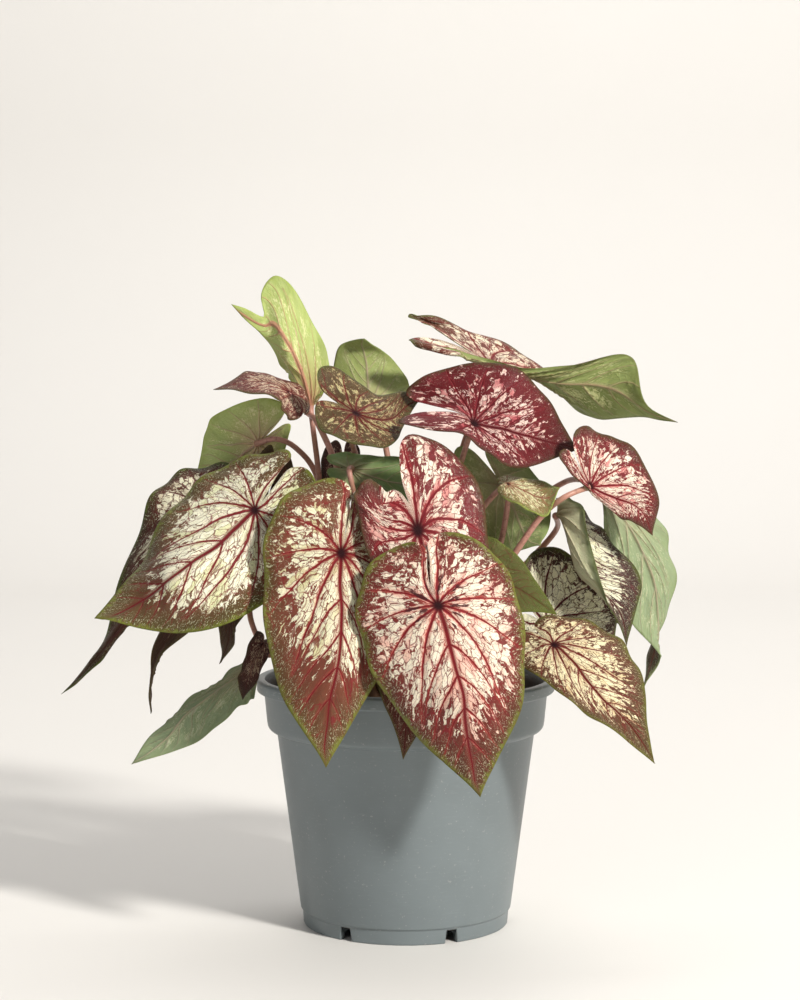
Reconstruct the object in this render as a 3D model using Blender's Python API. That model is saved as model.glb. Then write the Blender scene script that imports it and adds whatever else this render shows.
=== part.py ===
"""A caladium in its nursery pot, in metres, +Z up.

The origin is on the pot's axis, on the surface that it stands on. -Y is the side that the photograph
shows and +X is the photograph's right. Each leaf blade and each leaf stalk is its own closed solid.
"""

import math

import bpy
import numpy as np

# Pot, injection moulded, 12 cm size: radii and heights of its turned wall
RIM_RADIUS = 0.060
POT_HEIGHT = 0.099
LIP_HEIGHT = 0.005
BAND_TOP_RADIUS = 0.0568
BAND_FOOT_RADIUS = 0.0556
BAND_FOOT_Z = 0.0785
BODY_TOP_RADIUS = 0.0517
BODY_FOOT_RADIUS = 0.0423
FOOT_RING_RADIUS = 0.0411
FOOT_RING_HEIGHT = 0.0058
WALL = 0.0013
FLOOR_TOP_Z = 0.0046
CENTRE_PAD_RADIUS = 0.026
CHANNEL_RADII = (0.0285, 0.0385)
CHANNEL_Z = 0.0030
TURN_STEPS = 60

# Drain slots through the foot ring and the channel behind it
SLOT_COUNT = 6
FIRST_SLOT_DEGREES = -34.6
SLOT_FOOT_WIDTH = 0.0057
SLOT_TOP_WIDTH = 0.0043
SLOT_INNER_RADIUS = 0.031
SLOT_OUTER_RADIUS = 0.046

# Soil and tuber
TOUCH_GAP = 0.0003
SOIL_Z = 0.0900
SOIL_BUMP = 0.0012
TUBER_RADIUS = 0.0180
TUBER_TOP_Z = 0.0925
TUBER_BOTTOM_Z = 0.0690

# Blades: steps round the edge of a long or a short one, and rings from hub to edge
BLADE_THICKNESS = 0.0010
LONG_BLADE = 0.055
EDGE_STEPS = 24
SHORT_EDGE_STEPS = 18
BLADE_RINGS = 3

# Stalks: thicker at the crown than at the blade
STALK_RADIUS = 0.0013
STALK_FOOT_SHARE = 1.35
STALK_TOP_SHARE = 0.85
STALK_FOOT_INSET = 0.0020
STALK_TOP_INSET = 0.0009
STALK_STEPS = 11
LEAVING_SHARE = 0.35
ARRIVING_SHARE = 0.22
ROUTE_STEPS = 9
FINE_STEPS = 400

# Where the photograph was taken from, for reading places off it: millimetres, degrees and pixels
VIEW_X, VIEW_Y, VIEW_Z = -2.3, -900.0, 225.0
VIEW_PITCH = 3.5
VIEW_FOCUS = 2256.0
PICTURE_CENTRE = (400.0, 500.0)

# Places on a flat caladium blade of length 1 from the stalk to the tip: along the midrib, then to its left
PLACES = {
    "hub": (0.0, 0.0),
    "mid": (0.5, 0.0),
    "tip": (1.0, 0.0),
    "left": (0.1, 0.41),
    "right": (0.1, -0.41),
    "left_side": (0.65, 0.24),
    "right_side": (0.65, -0.24),
    "left_turn": (0.80, 0.135),
    "right_turn": (0.80, -0.135),
    "left_end": (0.85, 0.10),
    "right_end": (0.85, -0.10),
    "left_point": (0.93, 0.042),
    "right_point": (0.93, -0.042),
    "left_back": (-0.15, 0.385),
    "right_back": (-0.15, -0.385),
    "left_lobe": (-0.36, 0.20),
    "right_lobe": (-0.36, -0.20),
    "left_in": (-0.30, 0.04),
    "right_in": (-0.30, -0.04),
    "notch": (-0.10, 0.0),
}

# The left half of the blade's edge, from the tip round the basal lobe to the notch
HALF_EDGE = (
    (1.00, 0.000), (0.93, 0.042), (0.80, 0.135), (0.65, 0.240), (0.50, 0.320),
    (0.30, 0.385), (0.10, 0.410), (-0.10, 0.395), (-0.27, 0.310), (-0.36, 0.200),
    (-0.375, 0.110), (-0.32, 0.045), (-0.20, 0.014), (-0.10, 0.000),
)

# Places of each leaf: pixels across and down the photograph, then millimetres of depth from the axis.
# Left and right are the leaf's own, seen on its upper face with the tip up. base is where its stalk
# stands on the crown: millimetres from the axis and degrees round it from -Y towards +X.
LEAVES = {
    "front": {
        "colour": (0.55, 0.25, 0.2), "base": (13.5, 12),
        "stalk": [(428, 690, -36), (440, 680, -58), (446, 650, -76)],
        "hub": (438, 605, -86), "mid": (462, 700, -91), "tip": (480, 798, -82),
        "left": (520, 607, -80), "left_side": (515, 722, -82), "left_lobe": (462, 534, -74),
        "left_in": (432, 545, -75),
        "right": (361, 640, -76), "right_side": (419, 738, -78), "right_lobe": (386, 550, -70),
        "right_in": (422, 551, -78),
        "notch": (431, 588, -83),
    },
    "front_left": {
        "colour": (0.5, 0.27, 0.2), "base": (13.5, -30),
        "hub": (342, 553, -62), "mid": (337, 660, -76), "tip": (326, 768, -80),
        "left": (400, 590, -54), "left_side": (367, 697, -74), "left_lobe": (380, 506, -44),
        "left_in": (356, 495, -48),
        "right": (263, 570, -58), "right_side": (281, 694, -70), "right_lobe": (306, 483, -50),
        "right_in": (346, 490, -53),
        "notch": (345, 535, -60),
    },
    "left": {
        "colour": (0.48, 0.3, 0.2), "base": (13.5, -71),
        "hub": (255, 509, -40), "mid": (173, 579, -60), "tip": (95, 620, -54),
        "left": (284, 588, -48), "left_side": (178, 634, -54), "left_lobe": (318, 488, -36),
        "left_in": (292, 471, -30),
        "right": (196, 484, -20), "right_side": (139, 562, -34), "right_lobe": (278, 452, -26),
        "right_in": (286, 462, -33),
        "notch": (262, 501, -38),
    },
    "left_behind": {
        "colour": (0.35, 0.26, 0.16), "base": (13.5, -113),
        "stalk": [(340, 620, -4), (270, 560, -6), (225, 520, 2)],
        "hub": (210, 510, 0), "mid": (150, 590, -12), "tip": (62, 695, -10),
        "left": (236, 580, -14), "left_side": (124, 630, -8), "left_end": (91, 673, -12),
        "left_lobe": (262, 470, -4),
        "right": (152, 496, 12), "right_side": (107, 626, 0), "right_end": (85, 666, -6),
        "right_lobe": (218, 464, 14),
    },
    "left_ribbon": {
        "colour": (0.12, 0.07, 0.05), "base": (13.5, -136),
        "hub": (222, 545, 30), "mid": (176, 630, 24), "tip": (151, 714, 22),
        "left": (238, 590, 24), "left_side": (162, 655, 20), "left_end": (151, 692, 20),
        "right": (186, 560, 34), "right_side": (153, 655, 26), "right_end": (147, 688, 24),
    },
    "left_tip": {
        "colour": (0.13, 0.11, 0.05), "base": (9, -148),
        "hub": (262, 520, 14), "mid": (238, 590, 10), "tip": (218, 664, 12),
        "left": (285, 560, 10), "left_side": (236, 628, 8), "left_end": (234, 645, 8),
        "left_lobe": (292, 462, 8),
        "right": (228, 550, 20), "right_side": (220, 628, 14), "right_end": (220, 647, 14),
        "right_lobe": (265, 448, 8),
    },
    "low_left": {
        "colour": (0.33, 0.4, 0.25), "base": (13.5, -92),
        "hub": (248, 670, -14), "mid": (183, 718, -22), "tip": (131, 764, -22),
        "left": (222, 678, -6), "left_side": (160, 727, -14), "left_lobe": (258, 656, -4),
        "right": (240, 706, -26), "right_side": (195, 743, -28), "right_lobe": (256, 690, -22),
    },
    "low_left_curl": {
        "colour": (0.14, 0.06, 0.05), "base": (13.5, -51),
        "stalk": [(340, 630, -24), (290, 590, -26), (254, 590, -30), (250, 615, -34)],
        "hub": (262, 644, -40), "tip": (243, 700, -42),
        "left": (268, 656, -34), "left_side": (256, 682, -38), "left_end": (251, 690, -39),
        "left_lobe": (272, 645, -32),
        "right": (243, 664, -46), "right_side": (238, 682, -46), "right_end": (239, 690, -45),
        "right_lobe": (258, 631, -42),
    },
    "round_green": {
        "colour": (0.33, 0.42, 0.2), "base": (9, -115),
        "stalk": [(330, 530, 4), (316, 474, 8), (296, 448, 8), (276, 439, 8)],
        "hub": (258, 443, 16), "mid": (222, 470, 20), "tip": (190, 500, 34),
        "left": (222, 411, 22), "left_side": (203, 446, 28), "left_back": (256, 398, 14),
        "left_lobe": (282, 403, 8),
        "right": (262, 480, 20), "right_side": (222, 500, 30), "right_lobe": (290, 432, 8),
    },
    "top": {
        "colour": (0.45, 0.55, 0.25), "base": (3.8, -80),
        "stalk": [(324, 540, -2), (319, 477, 2), (313, 428, 2)],
        "hub": (311, 405, 6), "mid": (284, 342, -2), "tip": (231, 304, 2),
        "left": (326, 350, 8), "left_side": (274, 275, 14), "left_turn": (261, 299, 9),
        "left_end": (264, 316, 6), "left_point": (247, 309, 3), "left_lobe": (318, 396, 4),
        "right": (289, 374, 12), "right_side": (269, 345, 6), "right_end": (257, 329, 5),
        "right_point": (243, 317, 4), "right_lobe": (300, 396, 10),
    },
    "left_roll": {
        "colour": (0.33, 0.15, 0.12), "base": (9, -80),
        "stalk": [(352, 540, -12), (340, 476, -12), (318, 424, -6), (306, 412, 6)],
        "hub": (290, 393, -10), "tip": (213, 389, -4),
        "left": (278, 399, -24), "left_side": (240, 392, -14), "left_back": (282, 409, -26),
        "left_lobe": (290, 420, -20),
        "right": (272, 376, 6), "right_side": (240, 375, 4), "right_back": (302, 387, 2),
        "right_lobe": (309, 410, -6),
        "notch": (301, 402, -12),
    },
    "top_curl": {
        "colour": (0.24, 0.17, 0.09), "base": (3.8, -10),
        "stalk": [(372, 560, -8), (362, 480, -8), (352, 440, -20)],
        "hub": (356, 413, -34), "tip": (420, 400, -8),
        "left": (372, 392, -20), "left_side": (402, 391, -8), "left_back": (345, 372, -22),
        "left_lobe": (320, 368, -28),
        "right": (371, 447, -42), "right_side": (402, 430, -22), "right_back": (335, 438, -42),
        "right_lobe": (316, 420, -36),
        "notch": (341, 405, -30),
    },
    "back_green": {
        "colour": (0.27, 0.38, 0.17), "base": (3.8, 90),
        "hub": (370, 402, 14), "tip": (364, 340, 14),
        "left": (409, 384, 26), "left_side": (386, 353, 24), "left_lobe": (394, 403, 16),
        "right": (333, 385, 24), "right_side": (341, 344, 22), "right_lobe": (350, 408, 14),
    },
    "top_right": {
        "colour": (0.3, 0.33, 0.17), "base": (9, 150),
        "hub": (492, 364, 8), "mid": (570, 386, 2), "tip": (678, 420, 0),
        "left": (528, 356, 30), "left_side": (596, 420, 14), "left_turn": (622, 420, 8),
        "left_end": (641, 418, 4), "left_back": (474, 331, 30), "left_lobe": (413, 315, 24),
        "left_in": (430, 327, 22),
        "right": (524, 368, 0), "right_side": (627, 355, -4), "right_turn": (638, 370, -6),
        "right_end": (641, 386, -6), "right_point": (651, 406, -4), "right_back": (466, 352, 2),
        "right_lobe": (413, 343, 0), "right_in": (428, 338, 4),
    },
    "red_high": {
        "colour": (0.42, 0.07, 0.08), "base": (9, 35),
        "hub": (474, 423, -28), "mid": (530, 436, -30), "tip": (580, 449, -14),
        "left": (498, 363, -16), "left_side": (552, 406, -12), "left_back": (450, 366, -14),
        "left_lobe": (410, 386, -14), "left_in": (424, 404, -16),
        "right": (484, 450, -42), "right_side": (530, 467, -34), "right_back": (455, 433, -42),
        "right_lobe": (400, 424, -36), "right_in": (424, 412, -30),
        "notch": (462, 415, -28),
    },
    "red_centre": {
        "colour": (0.45, 0.1, 0.1), "base": (9, 5),
        "hub": (418, 530, -62), "mid": (424, 600, -72), "tip": (430, 668, -64),
        "left": (489, 545, -54), "left_side": (476, 622, -62), "left_back": (477, 480, -46),
        "left_lobe": (425, 437, -42), "left_in": (400, 450, -46),
        "right": (357, 512, -60), "right_side": (398, 625, -68), "right_lobe": (371, 478, -54),
        "right_in": (386, 495, -56),
        "notch": (409, 504, -58),
    },
    "red_right": {
        "colour": (0.45, 0.12, 0.12), "base": (9, 62),
        "stalk": [(490, 590, -20), (515, 553, -26), (540, 518, -30), (563, 498, -36)],
        "hub": (591, 486, -32), "tip": (653, 535, -26),
        "left": (628, 443, -18), "left_side": (659, 503, -16), "left_back": (604, 434, -14),
        "left_lobe": (582, 426, -26),
        "right": (604, 504, -28), "right_side": (630, 521, -24), "right_back": (574, 476, -38),
        "right_lobe": (560, 455, -38),
    },
    "right_hanging": {
        "colour": (0.35, 0.4, 0.25), "base": (13.5, 112),
        "stalk": [(470, 620, 10), (500, 560, 14), (535, 505, 14), (565, 482, 6), (586, 480, -10)],
        "hub": (600, 484, -2), "mid": (654, 580, 10), "tip": (641, 688, 8),
        "left": (602, 503, -2), "left_side": (634, 625, 6), "left_end": (660, 657, 6),
        "left_lobe": (606, 464, 4),
        "right": (668, 540, 20), "right_side": (668, 617, 18), "right_end": (646, 655, 16),
        "right_lobe": (628, 476, 12),
    },
    "right_mid": {
        "colour": (0.4, 0.38, 0.22), "base": (13.5, 70),
        "hub": (546, 626, -16), "tip": (628, 735, -30),
        "left": (604, 588, -6), "left_side": (615, 640, -10), "left_back": (562, 549, -2),
        "left_lobe": (526, 560, -6),
        "right": (540, 670, -32), "right_side": (590, 706, -34), "right_lobe": (520, 640, -20),
    },
    "low_right": {
        "colour": (0.5, 0.33, 0.18), "base": (13.5, 51),
        "hub": (554, 644, -54), "mid": (604, 700, -60), "tip": (655, 764, -62),
        "left": (619, 640, -44), "left_side": (646, 698, -54), "left_back": (590, 622, -40),
        "left_lobe": (548, 616, -42),
        "right": (546, 682, -62), "right_side": (602, 723, -66), "right_back": (520, 664, -56),
        "right_lobe": (512, 640, -50),
    },
    "right_folded": {
        "colour": (0.4, 0.35, 0.24), "base": (13.5, 90),
        "stalk": [(480, 610, 0), (530, 560, 6), (556, 530, 4)],
        "hub": (560, 514, -16), "mid": (583, 578, -22), "tip": (626, 646, -28),
        "left": (604, 532, -6), "left_side": (643, 585, -12), "left_lobe": (566, 500, 0),
        "right": (584, 510, -26), "right_side": (606, 592, -30), "right_lobe": (557, 498, -18),
    },
    "green_back": {
        "colour": (0.26, 0.36, 0.18), "base": (9, 116),
        "stalk": [(455, 600, -10), (478, 520, -22), (492, 497, -24)],
        "hub": (503, 487, -14), "tip": (541, 546, -20),
        "left": (480, 530, -8), "left_side": (512, 552, -14), "left_lobe": (455, 450, -12),
        "right": (545, 490, -4), "right_side": (548, 530, -16), "right_lobe": (500, 450, -6),
    },
    "right_curl": {
        "colour": (0.42, 0.42, 0.2), "base": (9, 89),
        "stalk": [(442, 660, -4), (480, 600, -12), (500, 545, -16), (508, 502, -22)],
        "hub": (508, 484, -30), "tip": (560, 488, -34),
        "left": (522, 478, -22), "left_side": (548, 483, -28), "left_lobe": (498, 478, -24),
        "right": (520, 505, -40), "right_side": (548, 515, -40), "right_lobe": (499, 494, -32),
    },
    "dark_green": {
        "colour": (0.12, 0.22, 0.1), "base": (9, -40),
        "hub": (352, 470, -22), "mid": (395, 484, -28), "tip": (440, 496, -34),
        "left": (372, 502, -28), "left_side": (412, 504, -34),
        "right": (372, 456, -20), "right_side": (412, 462, -26),
    },
    "small_brown": {
        "colour": (0.25, 0.16, 0.12), "base": (3.8, -150),
        "stalk": [(372, 590, 6), (350, 520, 12), (345, 485, 10)],
        "hub": (343, 466, 2), "tip": (338, 525, -6),
        "left": (360, 462, 4), "left_lobe": (352, 440, 6),
        "right": (321, 464, 6), "right_lobe": (333, 441, 8),
    },
    "olive": {
        "colour": (0.22, 0.22, 0.07), "base": (13.5, 32),
        "hub": (482, 570, -50), "tip": (557, 615, -58),
        "left": (500, 542, -46), "left_side": (534, 577, -52),
        "right": (470, 620, -56), "right_side": (520, 612, -60),
    },
    "under_front": {
        "colour": (0.33, 0.13, 0.09), "base": (13.5, -8),
        "hub": (398, 640, -50), "tip": (403, 760, -68),
        "left": (420, 662, -58), "left_side": (426, 718, -66),
        "right": (372, 664, -58), "right_side": (390, 718, -66),
    },
}

def paint(name, colour, roughness, metallic=0.0):
    """A plain material in the part's colour."""
    material = bpy.data.materials.new(name)
    material.use_nodes = True
    shader = material.node_tree.nodes["Principled BSDF"]
    shader.inputs["Base Color"].default_value = (*colour, 1.0)
    shader.inputs["Roughness"].default_value = roughness
    shader.inputs["Metallic"].default_value = metallic
    return material


def add_mesh(name, points, faces, material):
    """A named object from points in world space, shaded smooth."""
    mesh = bpy.data.meshes.new(name)
    mesh.from_pydata([tuple(p) for p in points], [], [tuple(int(i) for i in f) for f in faces])
    mesh.shade_smooth()
    mesh.materials.append(material)
    item = bpy.data.objects.new(name, mesh)
    bpy.context.scene.collection.objects.link(item)
    return item


def turned(name, profile, material, steps=TURN_STEPS):
    """A closed solid of revolution. Its profile starts and ends on the axis."""
    angles = np.linspace(0.0, 2.0 * math.pi, steps, endpoint=False)
    points = [(0.0, 0.0, profile[0][1])]
    for radius, z in profile[1:-1]:
        points += [(radius * math.sin(a), -radius * math.cos(a), z) for a in angles]
    points.append((0.0, 0.0, profile[-1][1]))
    last = len(points) - 1
    rings = len(profile) - 2
    faces = []
    for j in range(steps):
        k = (j + 1) % steps
        faces.append((0, 1 + k, 1 + j))
        for i in range(rings - 1):
            a, b = 1 + i * steps, 1 + (i + 1) * steps
            faces.append((a + j, a + k, b + k, b + j))
        end = 1 + (rings - 1) * steps
        faces.append((last, end + j, end + k))
    return add_mesh(name, points, faces, material)


def inner_radius(z):
    """Radius of the pot's inside at a height between its floor and the band."""
    share = (z - FOOT_RING_HEIGHT) / (BAND_FOOT_Z - FOOT_RING_HEIGHT)
    return BODY_FOOT_RADIUS + (BODY_TOP_RADIUS - BODY_FOOT_RADIUS) * share - WALL


def drain_slot(angle):
    """A cutter for one drain slot: a wedge-sided block through the foot ring and the channel's floor."""
    low, high = -0.001, FOOT_RING_HEIGHT - 0.0003
    corners = []
    for z, width in ((low, SLOT_FOOT_WIDTH), (high, SLOT_TOP_WIDTH)):
        for inner, side in ((True, -1), (False, -1), (False, 1), (True, 1)):
            radius = SLOT_INNER_RADIUS if inner else SLOT_OUTER_RADIUS
            across = side * width / 2
            x = radius * math.sin(angle) + across * math.cos(angle)
            y = -radius * math.cos(angle) + across * math.sin(angle)
            corners.append((x, y, z))
    faces = [(3, 2, 1, 0), (4, 5, 6, 7), (0, 1, 5, 4), (1, 2, 6, 5), (2, 3, 7, 6), (3, 0, 4, 7)]
    return corners, faces


def make_pot():
    """The pot: a tapered cup with a lip, a raised band under it, a stepped foot ring and drain slots."""
    plastic = paint("pot_plastic", (0.105, 0.125, 0.135), 0.42)
    lip_z = POT_HEIGHT - LIP_HEIGHT
    profile = [
        (0.0, 0.0),
        (CENTRE_PAD_RADIUS, 0.0),
        (CHANNEL_RADII[0], CHANNEL_Z),
        (CHANNEL_RADII[1], CHANNEL_Z),
        (CHANNEL_RADII[1] + 0.0002, 0.0),
        (FOOT_RING_RADIUS - 0.0003, 0.0),
        (FOOT_RING_RADIUS, 0.0004),
        (FOOT_RING_RADIUS + 0.0004, FOOT_RING_HEIGHT),
        (BODY_FOOT_RADIUS, FOOT_RING_HEIGHT + 0.0008),
        (BODY_TOP_RADIUS, BAND_FOOT_Z - 0.0006),
        (BODY_TOP_RADIUS + 0.0026, BAND_FOOT_Z),
        (BAND_FOOT_RADIUS - 0.0004, BAND_FOOT_Z + 0.0010),
        (BAND_FOOT_RADIUS, BAND_FOOT_Z + 0.0026),
        (BAND_TOP_RADIUS, lip_z - 0.0006),
        (RIM_RADIUS - 0.0006, lip_z),
        (RIM_RADIUS, lip_z + 0.0008),
        (RIM_RADIUS, POT_HEIGHT - 0.0012),
        (RIM_RADIUS - 0.0008, POT_HEIGHT),
        (BAND_TOP_RADIUS + 0.0006, POT_HEIGHT - 0.0002),
        (BAND_TOP_RADIUS - WALL, POT_HEIGHT - 0.0016),
        (BAND_FOOT_RADIUS - WALL, BAND_FOOT_Z + 0.0028),
        (BODY_TOP_RADIUS - WALL + 0.0004, BAND_FOOT_Z - 0.0002),
        (inner_radius(BAND_FOOT_Z - 0.003), BAND_FOOT_Z - 0.003),
        (inner_radius(FLOOR_TOP_Z + 0.002), FLOOR_TOP_Z + 0.002),
        (inner_radius(FLOOR_TOP_Z) - 0.002, FLOOR_TOP_Z),
        (0.0, FLOOR_TOP_Z - 0.0012),
    ]
    pot = turned("pot", profile, plastic)
    points, faces = [], []
    for k in range(SLOT_COUNT):
        angle = math.radians(FIRST_SLOT_DEGREES + 360.0 * k / SLOT_COUNT)
        corners, sides = drain_slot(angle)
        faces += [tuple(i + len(points) for i in side) for side in sides]
        points += corners
    cutter = add_mesh("drain_slot_cutter", points, faces, plastic)
    cutter.hide_render = True
    cutter.display_type = "WIRE"
    cut = pot.modifiers.new("drain_slots", "BOOLEAN")
    cut.operation = "DIFFERENCE"
    cut.solver = "EXACT"
    cut.object = cutter


def make_soil():
    """The soil: it fills the pot to below the band's top, with a hollow in which the tuber sits."""
    peat = paint("soil_peat", (0.030, 0.018, 0.011), 0.95)
    band_radius = BAND_FOOT_RADIUS - WALL - 2 * TOUCH_GAP
    neck = BAND_FOOT_Z - 0.0035
    hollow = TUBER_RADIUS + TOUCH_GAP
    profile = [
        (0.0, FLOOR_TOP_Z + TOUCH_GAP),
        (inner_radius(FLOOR_TOP_Z) - 0.0026, FLOOR_TOP_Z + TOUCH_GAP),
        (inner_radius(FLOOR_TOP_Z + 0.003) - TOUCH_GAP * 1.5, FLOOR_TOP_Z + 0.003),
        (inner_radius(neck) - TOUCH_GAP * 1.5, neck),
        (inner_radius(neck) - TOUCH_GAP * 1.5, BAND_FOOT_Z + 0.0034),
        (band_radius - TOUCH_GAP, BAND_FOOT_Z + 0.0044),
        (band_radius, SOIL_Z - 0.0012),
        (band_radius - 0.0020, SOIL_Z),
        (0.0440, SOIL_Z),
        (0.0340, SOIL_Z),
        (0.0250, SOIL_Z),
        (hollow + 0.0008, SOIL_Z),
        (hollow, SOIL_Z - 0.0012),
        (hollow, 0.0765),
        (0.0165, 0.0722),
        (0.0125, 0.0695),
        (0.0, TUBER_BOTTOM_Z - TOUCH_GAP * 2),
    ]
    soil = turned("soil", profile, peat, steps=36)
    for vertex in soil.data.vertices:
        x, y, z = vertex.co
        radius = math.hypot(x, y)
        if z > SOIL_Z - 0.0001 and 0.022 < radius < 0.050:
            vertex.co.z += SOIL_BUMP * math.sin(310.0 * x + 1.3) * math.cos(270.0 * y - 0.4)


def make_tuber():
    """The tuber: a flattened corm with a shallow ring, whose crown stands just clear of the soil."""
    bark = paint("tuber_bark", (0.085, 0.045, 0.025), 0.85)
    middle = (TUBER_TOP_Z + TUBER_BOTTOM_Z) / 2
    half = (TUBER_TOP_Z - TUBER_BOTTOM_Z) / 2
    profile = [(0.0, TUBER_BOTTOM_Z)]
    for degrees in (-75, -55, -35, -15, 10, 30, 48, 62, 74, 83):
        a = math.radians(degrees)
        profile.append((TUBER_RADIUS * 0.985 * math.cos(a) ** 0.8, middle + half * math.sin(a)))
    profile.append((0.0, TUBER_TOP_Z))
    turned("tuber", profile, bark, steps=28)


def crown_z(radius):
    """Height of the tuber's top at a distance from the axis."""
    middle = (TUBER_TOP_Z + TUBER_BOTTOM_Z) / 2
    half = (TUBER_TOP_Z - TUBER_BOTTOM_Z) / 2
    across = min(radius / (TUBER_RADIUS * 0.985), 0.999) ** 1.25
    return middle + half * math.sqrt(1.0 - across ** 2)


def sighted(place):
    """The point in metres seen at (across, down) in the photograph, at a depth in mm from the axis."""
    across, down, depth = place
    pitch = math.radians(VIEW_PITCH)
    ahead = np.array([0.0, math.cos(pitch), -math.sin(pitch)])
    up = np.array([0.0, math.sin(pitch), math.cos(pitch)])
    sideways = np.array([1.0, 0.0, 0.0])
    right = (across - PICTURE_CENTRE[0]) / VIEW_FOCUS
    rise = (PICTURE_CENTRE[1] - down) / VIEW_FOCUS
    ray = ahead + sideways * right + up * rise
    reach = (depth - VIEW_Y) / ray[1]
    return (np.array([VIEW_X, VIEW_Y, VIEW_Z]) + ray * reach) / 1000.0


def smooth_line(points, count):
    """Catmull-Rom curve through points, at count evenly spaced parameters."""
    p = np.array(points, dtype=float)
    p = np.vstack([2 * p[0] - p[1], p, 2 * p[-1] - p[-2]])
    t = np.linspace(0.0, len(p) - 3, count)
    i = np.minimum(t.astype(int), len(p) - 4)
    s = (t - i)[:, None]
    a, b, c, d = p[i], p[i + 1], p[i + 2], p[i + 3]
    linear = (c - a) * s
    square = (2 * a - 5 * b + 4 * c - d) * s ** 2
    cube = (3 * b - a - 3 * c + d) * s ** 3
    return 0.5 * (2 * b + linear + square + cube)


def even_steps(line, count):
    """Points at equal distances along a fine line."""
    gone = np.r_[0.0, np.cumsum(np.linalg.norm(np.diff(line, axis=0), axis=1))]
    at = np.linspace(0.0, gone[-1], count)
    return np.stack([np.interp(at, gone, line[:, k]) for k in range(line.shape[1])], axis=-1)


def flat_edge(count):
    """The flat blade's whole edge: count points from the tip round by the left lobe and the notch."""
    half = even_steps(smooth_line(HALF_EDGE, FINE_STEPS), count // 2 + 1)
    return np.vstack([half, (half * (1.0, -1.0))[-2:0:-1]])


def pull(a, b):
    """Thin-plate kernel r^2 log r^2 between two sets of flat points."""
    square = ((a[:, None] - b[None]) ** 2).sum(axis=-1)
    return square * np.log(square + 1e-12)


def bending(leaf):
    """A function from flat blade points to space: the smoothest thin plate through the leaf's places."""
    names = [name for name in leaf if name in PLACES]
    flat = np.array([PLACES[name] for name in names])
    held = np.array([sighted(leaf[name]) for name in names])
    ones = np.hstack([np.ones((len(flat), 1)), flat])
    system = np.block([[pull(flat, flat), ones], [ones.T, np.zeros((3, 3))]])
    weights = np.linalg.solve(system, np.vstack([held, np.zeros((3, 3))]))
    count = len(flat)

    def bend(points):
        linear = np.hstack([np.ones((len(points), 1)), points]) @ weights[count:]
        return pull(points, flat) @ weights[:count] + linear

    return bend


def make_blade(name, leaf, bend, skin):
    """One blade: rings from the hub out to the edge, bent into place, then given its thickness."""
    span = np.linalg.norm(bend(np.array([PLACES["tip"]])) - bend(np.array([PLACES["hub"]])))
    around = EDGE_STEPS if span > LONG_BLADE else SHORT_EDGE_STEPS
    edge = flat_edge(around)
    flat = np.vstack([[0.0, 0.0]] + [edge * (i + 1) / BLADE_RINGS for i in range(BLADE_RINGS)])
    faces = []
    for j in range(around):
        k = (j + 1) % around
        faces.append((0, 1 + j, 1 + k))
        for i in range(BLADE_RINGS - 1):
            a, b = 1 + i * around, 1 + (i + 1) * around
            faces.append((a + j, b + j, b + k))
            faces.append((a + j, b + k, a + k))
    blade = add_mesh("leaf_" + name, bend(flat), faces, skin)
    thick = blade.modifiers.new("thickness", "SOLIDIFY")
    thick.thickness = BLADE_THICKNESS
    thick.offset = 0.0


def hub_normal(bend):
    """The upper face's direction at the hub."""
    step = 0.02
    at = bend(np.array([[0.0, 0.0], [step, 0.0], [0.0, step]]))
    normal = np.cross(at[1] - at[0], at[2] - at[0])
    return normal / np.linalg.norm(normal)


def free_route(foot, top, normal):
    """A Bezier curve that leaves the crown upwards and comes to the blade from below its hub."""
    length = np.linalg.norm(top - foot)
    above = foot + np.array([0.0, 0.0, LEAVING_SHARE * length])
    under = top - normal * ARRIVING_SHARE * length
    t = np.linspace(0.0, 1.0, ROUTE_STEPS)[:, None]
    s = 1.0 - t
    return foot * s ** 3 + 3 * above * t * s ** 2 + 3 * under * t ** 2 * s + top * t ** 3


def make_stalk(name, leaf, bend, skin):
    """One leaf stalk: a tapering tube from the tuber's crown to just under the blade's hub."""
    hub = bend(np.array([PLACES["hub"]]))[0]
    normal = hub_normal(bend)
    radius, degrees = leaf["base"]
    angle = math.radians(degrees)
    foot_radius = radius / 1000.0
    foot = np.array([foot_radius * math.sin(angle), -foot_radius * math.cos(angle), 0.0])
    foot[2] = crown_z(max(foot_radius - STALK_FOOT_INSET, 0.0)) + 2 * TOUCH_GAP
    top = hub - normal * (BLADE_THICKNESS / 2 + STALK_TOP_INSET + TOUCH_GAP)
    if "stalk" in leaf:
        route = [foot] + [sighted(place) for place in leaf["stalk"]] + [top]
    else:
        route = free_route(foot, top, normal)
    line = even_steps(smooth_line(route, FINE_STEPS), STALK_STEPS)
    curve = bpy.data.curves.new("stalk_" + name, "CURVE")
    curve.dimensions = "3D"
    curve.bevel_depth = STALK_RADIUS
    curve.bevel_resolution = 1
    curve.use_fill_caps = True
    spline = curve.splines.new("POLY")
    spline.points.add(len(line) - 1)
    for k, (point, at) in enumerate(zip(spline.points, line)):
        point.co = (*at, 1.0)
        point.radius = STALK_FOOT_SHARE + (STALK_TOP_SHARE - STALK_FOOT_SHARE) * k / (len(line) - 1)
    curve.materials.append(skin)
    item = bpy.data.objects.new("stalk_" + name, curve)
    bpy.context.scene.collection.objects.link(item)


def main():
    for item in list(bpy.data.objects):
        bpy.data.objects.remove(item, do_unlink=True)
    make_pot()
    make_soil()
    make_tuber()
    stalk_skin = paint("stalk_skin", (0.36, 0.16, 0.13), 0.45)
    for name, leaf in LEAVES.items():
        skin = paint("leaf_" + name, leaf["colour"], 0.45)
        bend = bending(leaf)
        make_blade(name, leaf, bend, skin)
        make_stalk(name, leaf, bend, stalk_skin)


main()
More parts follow.
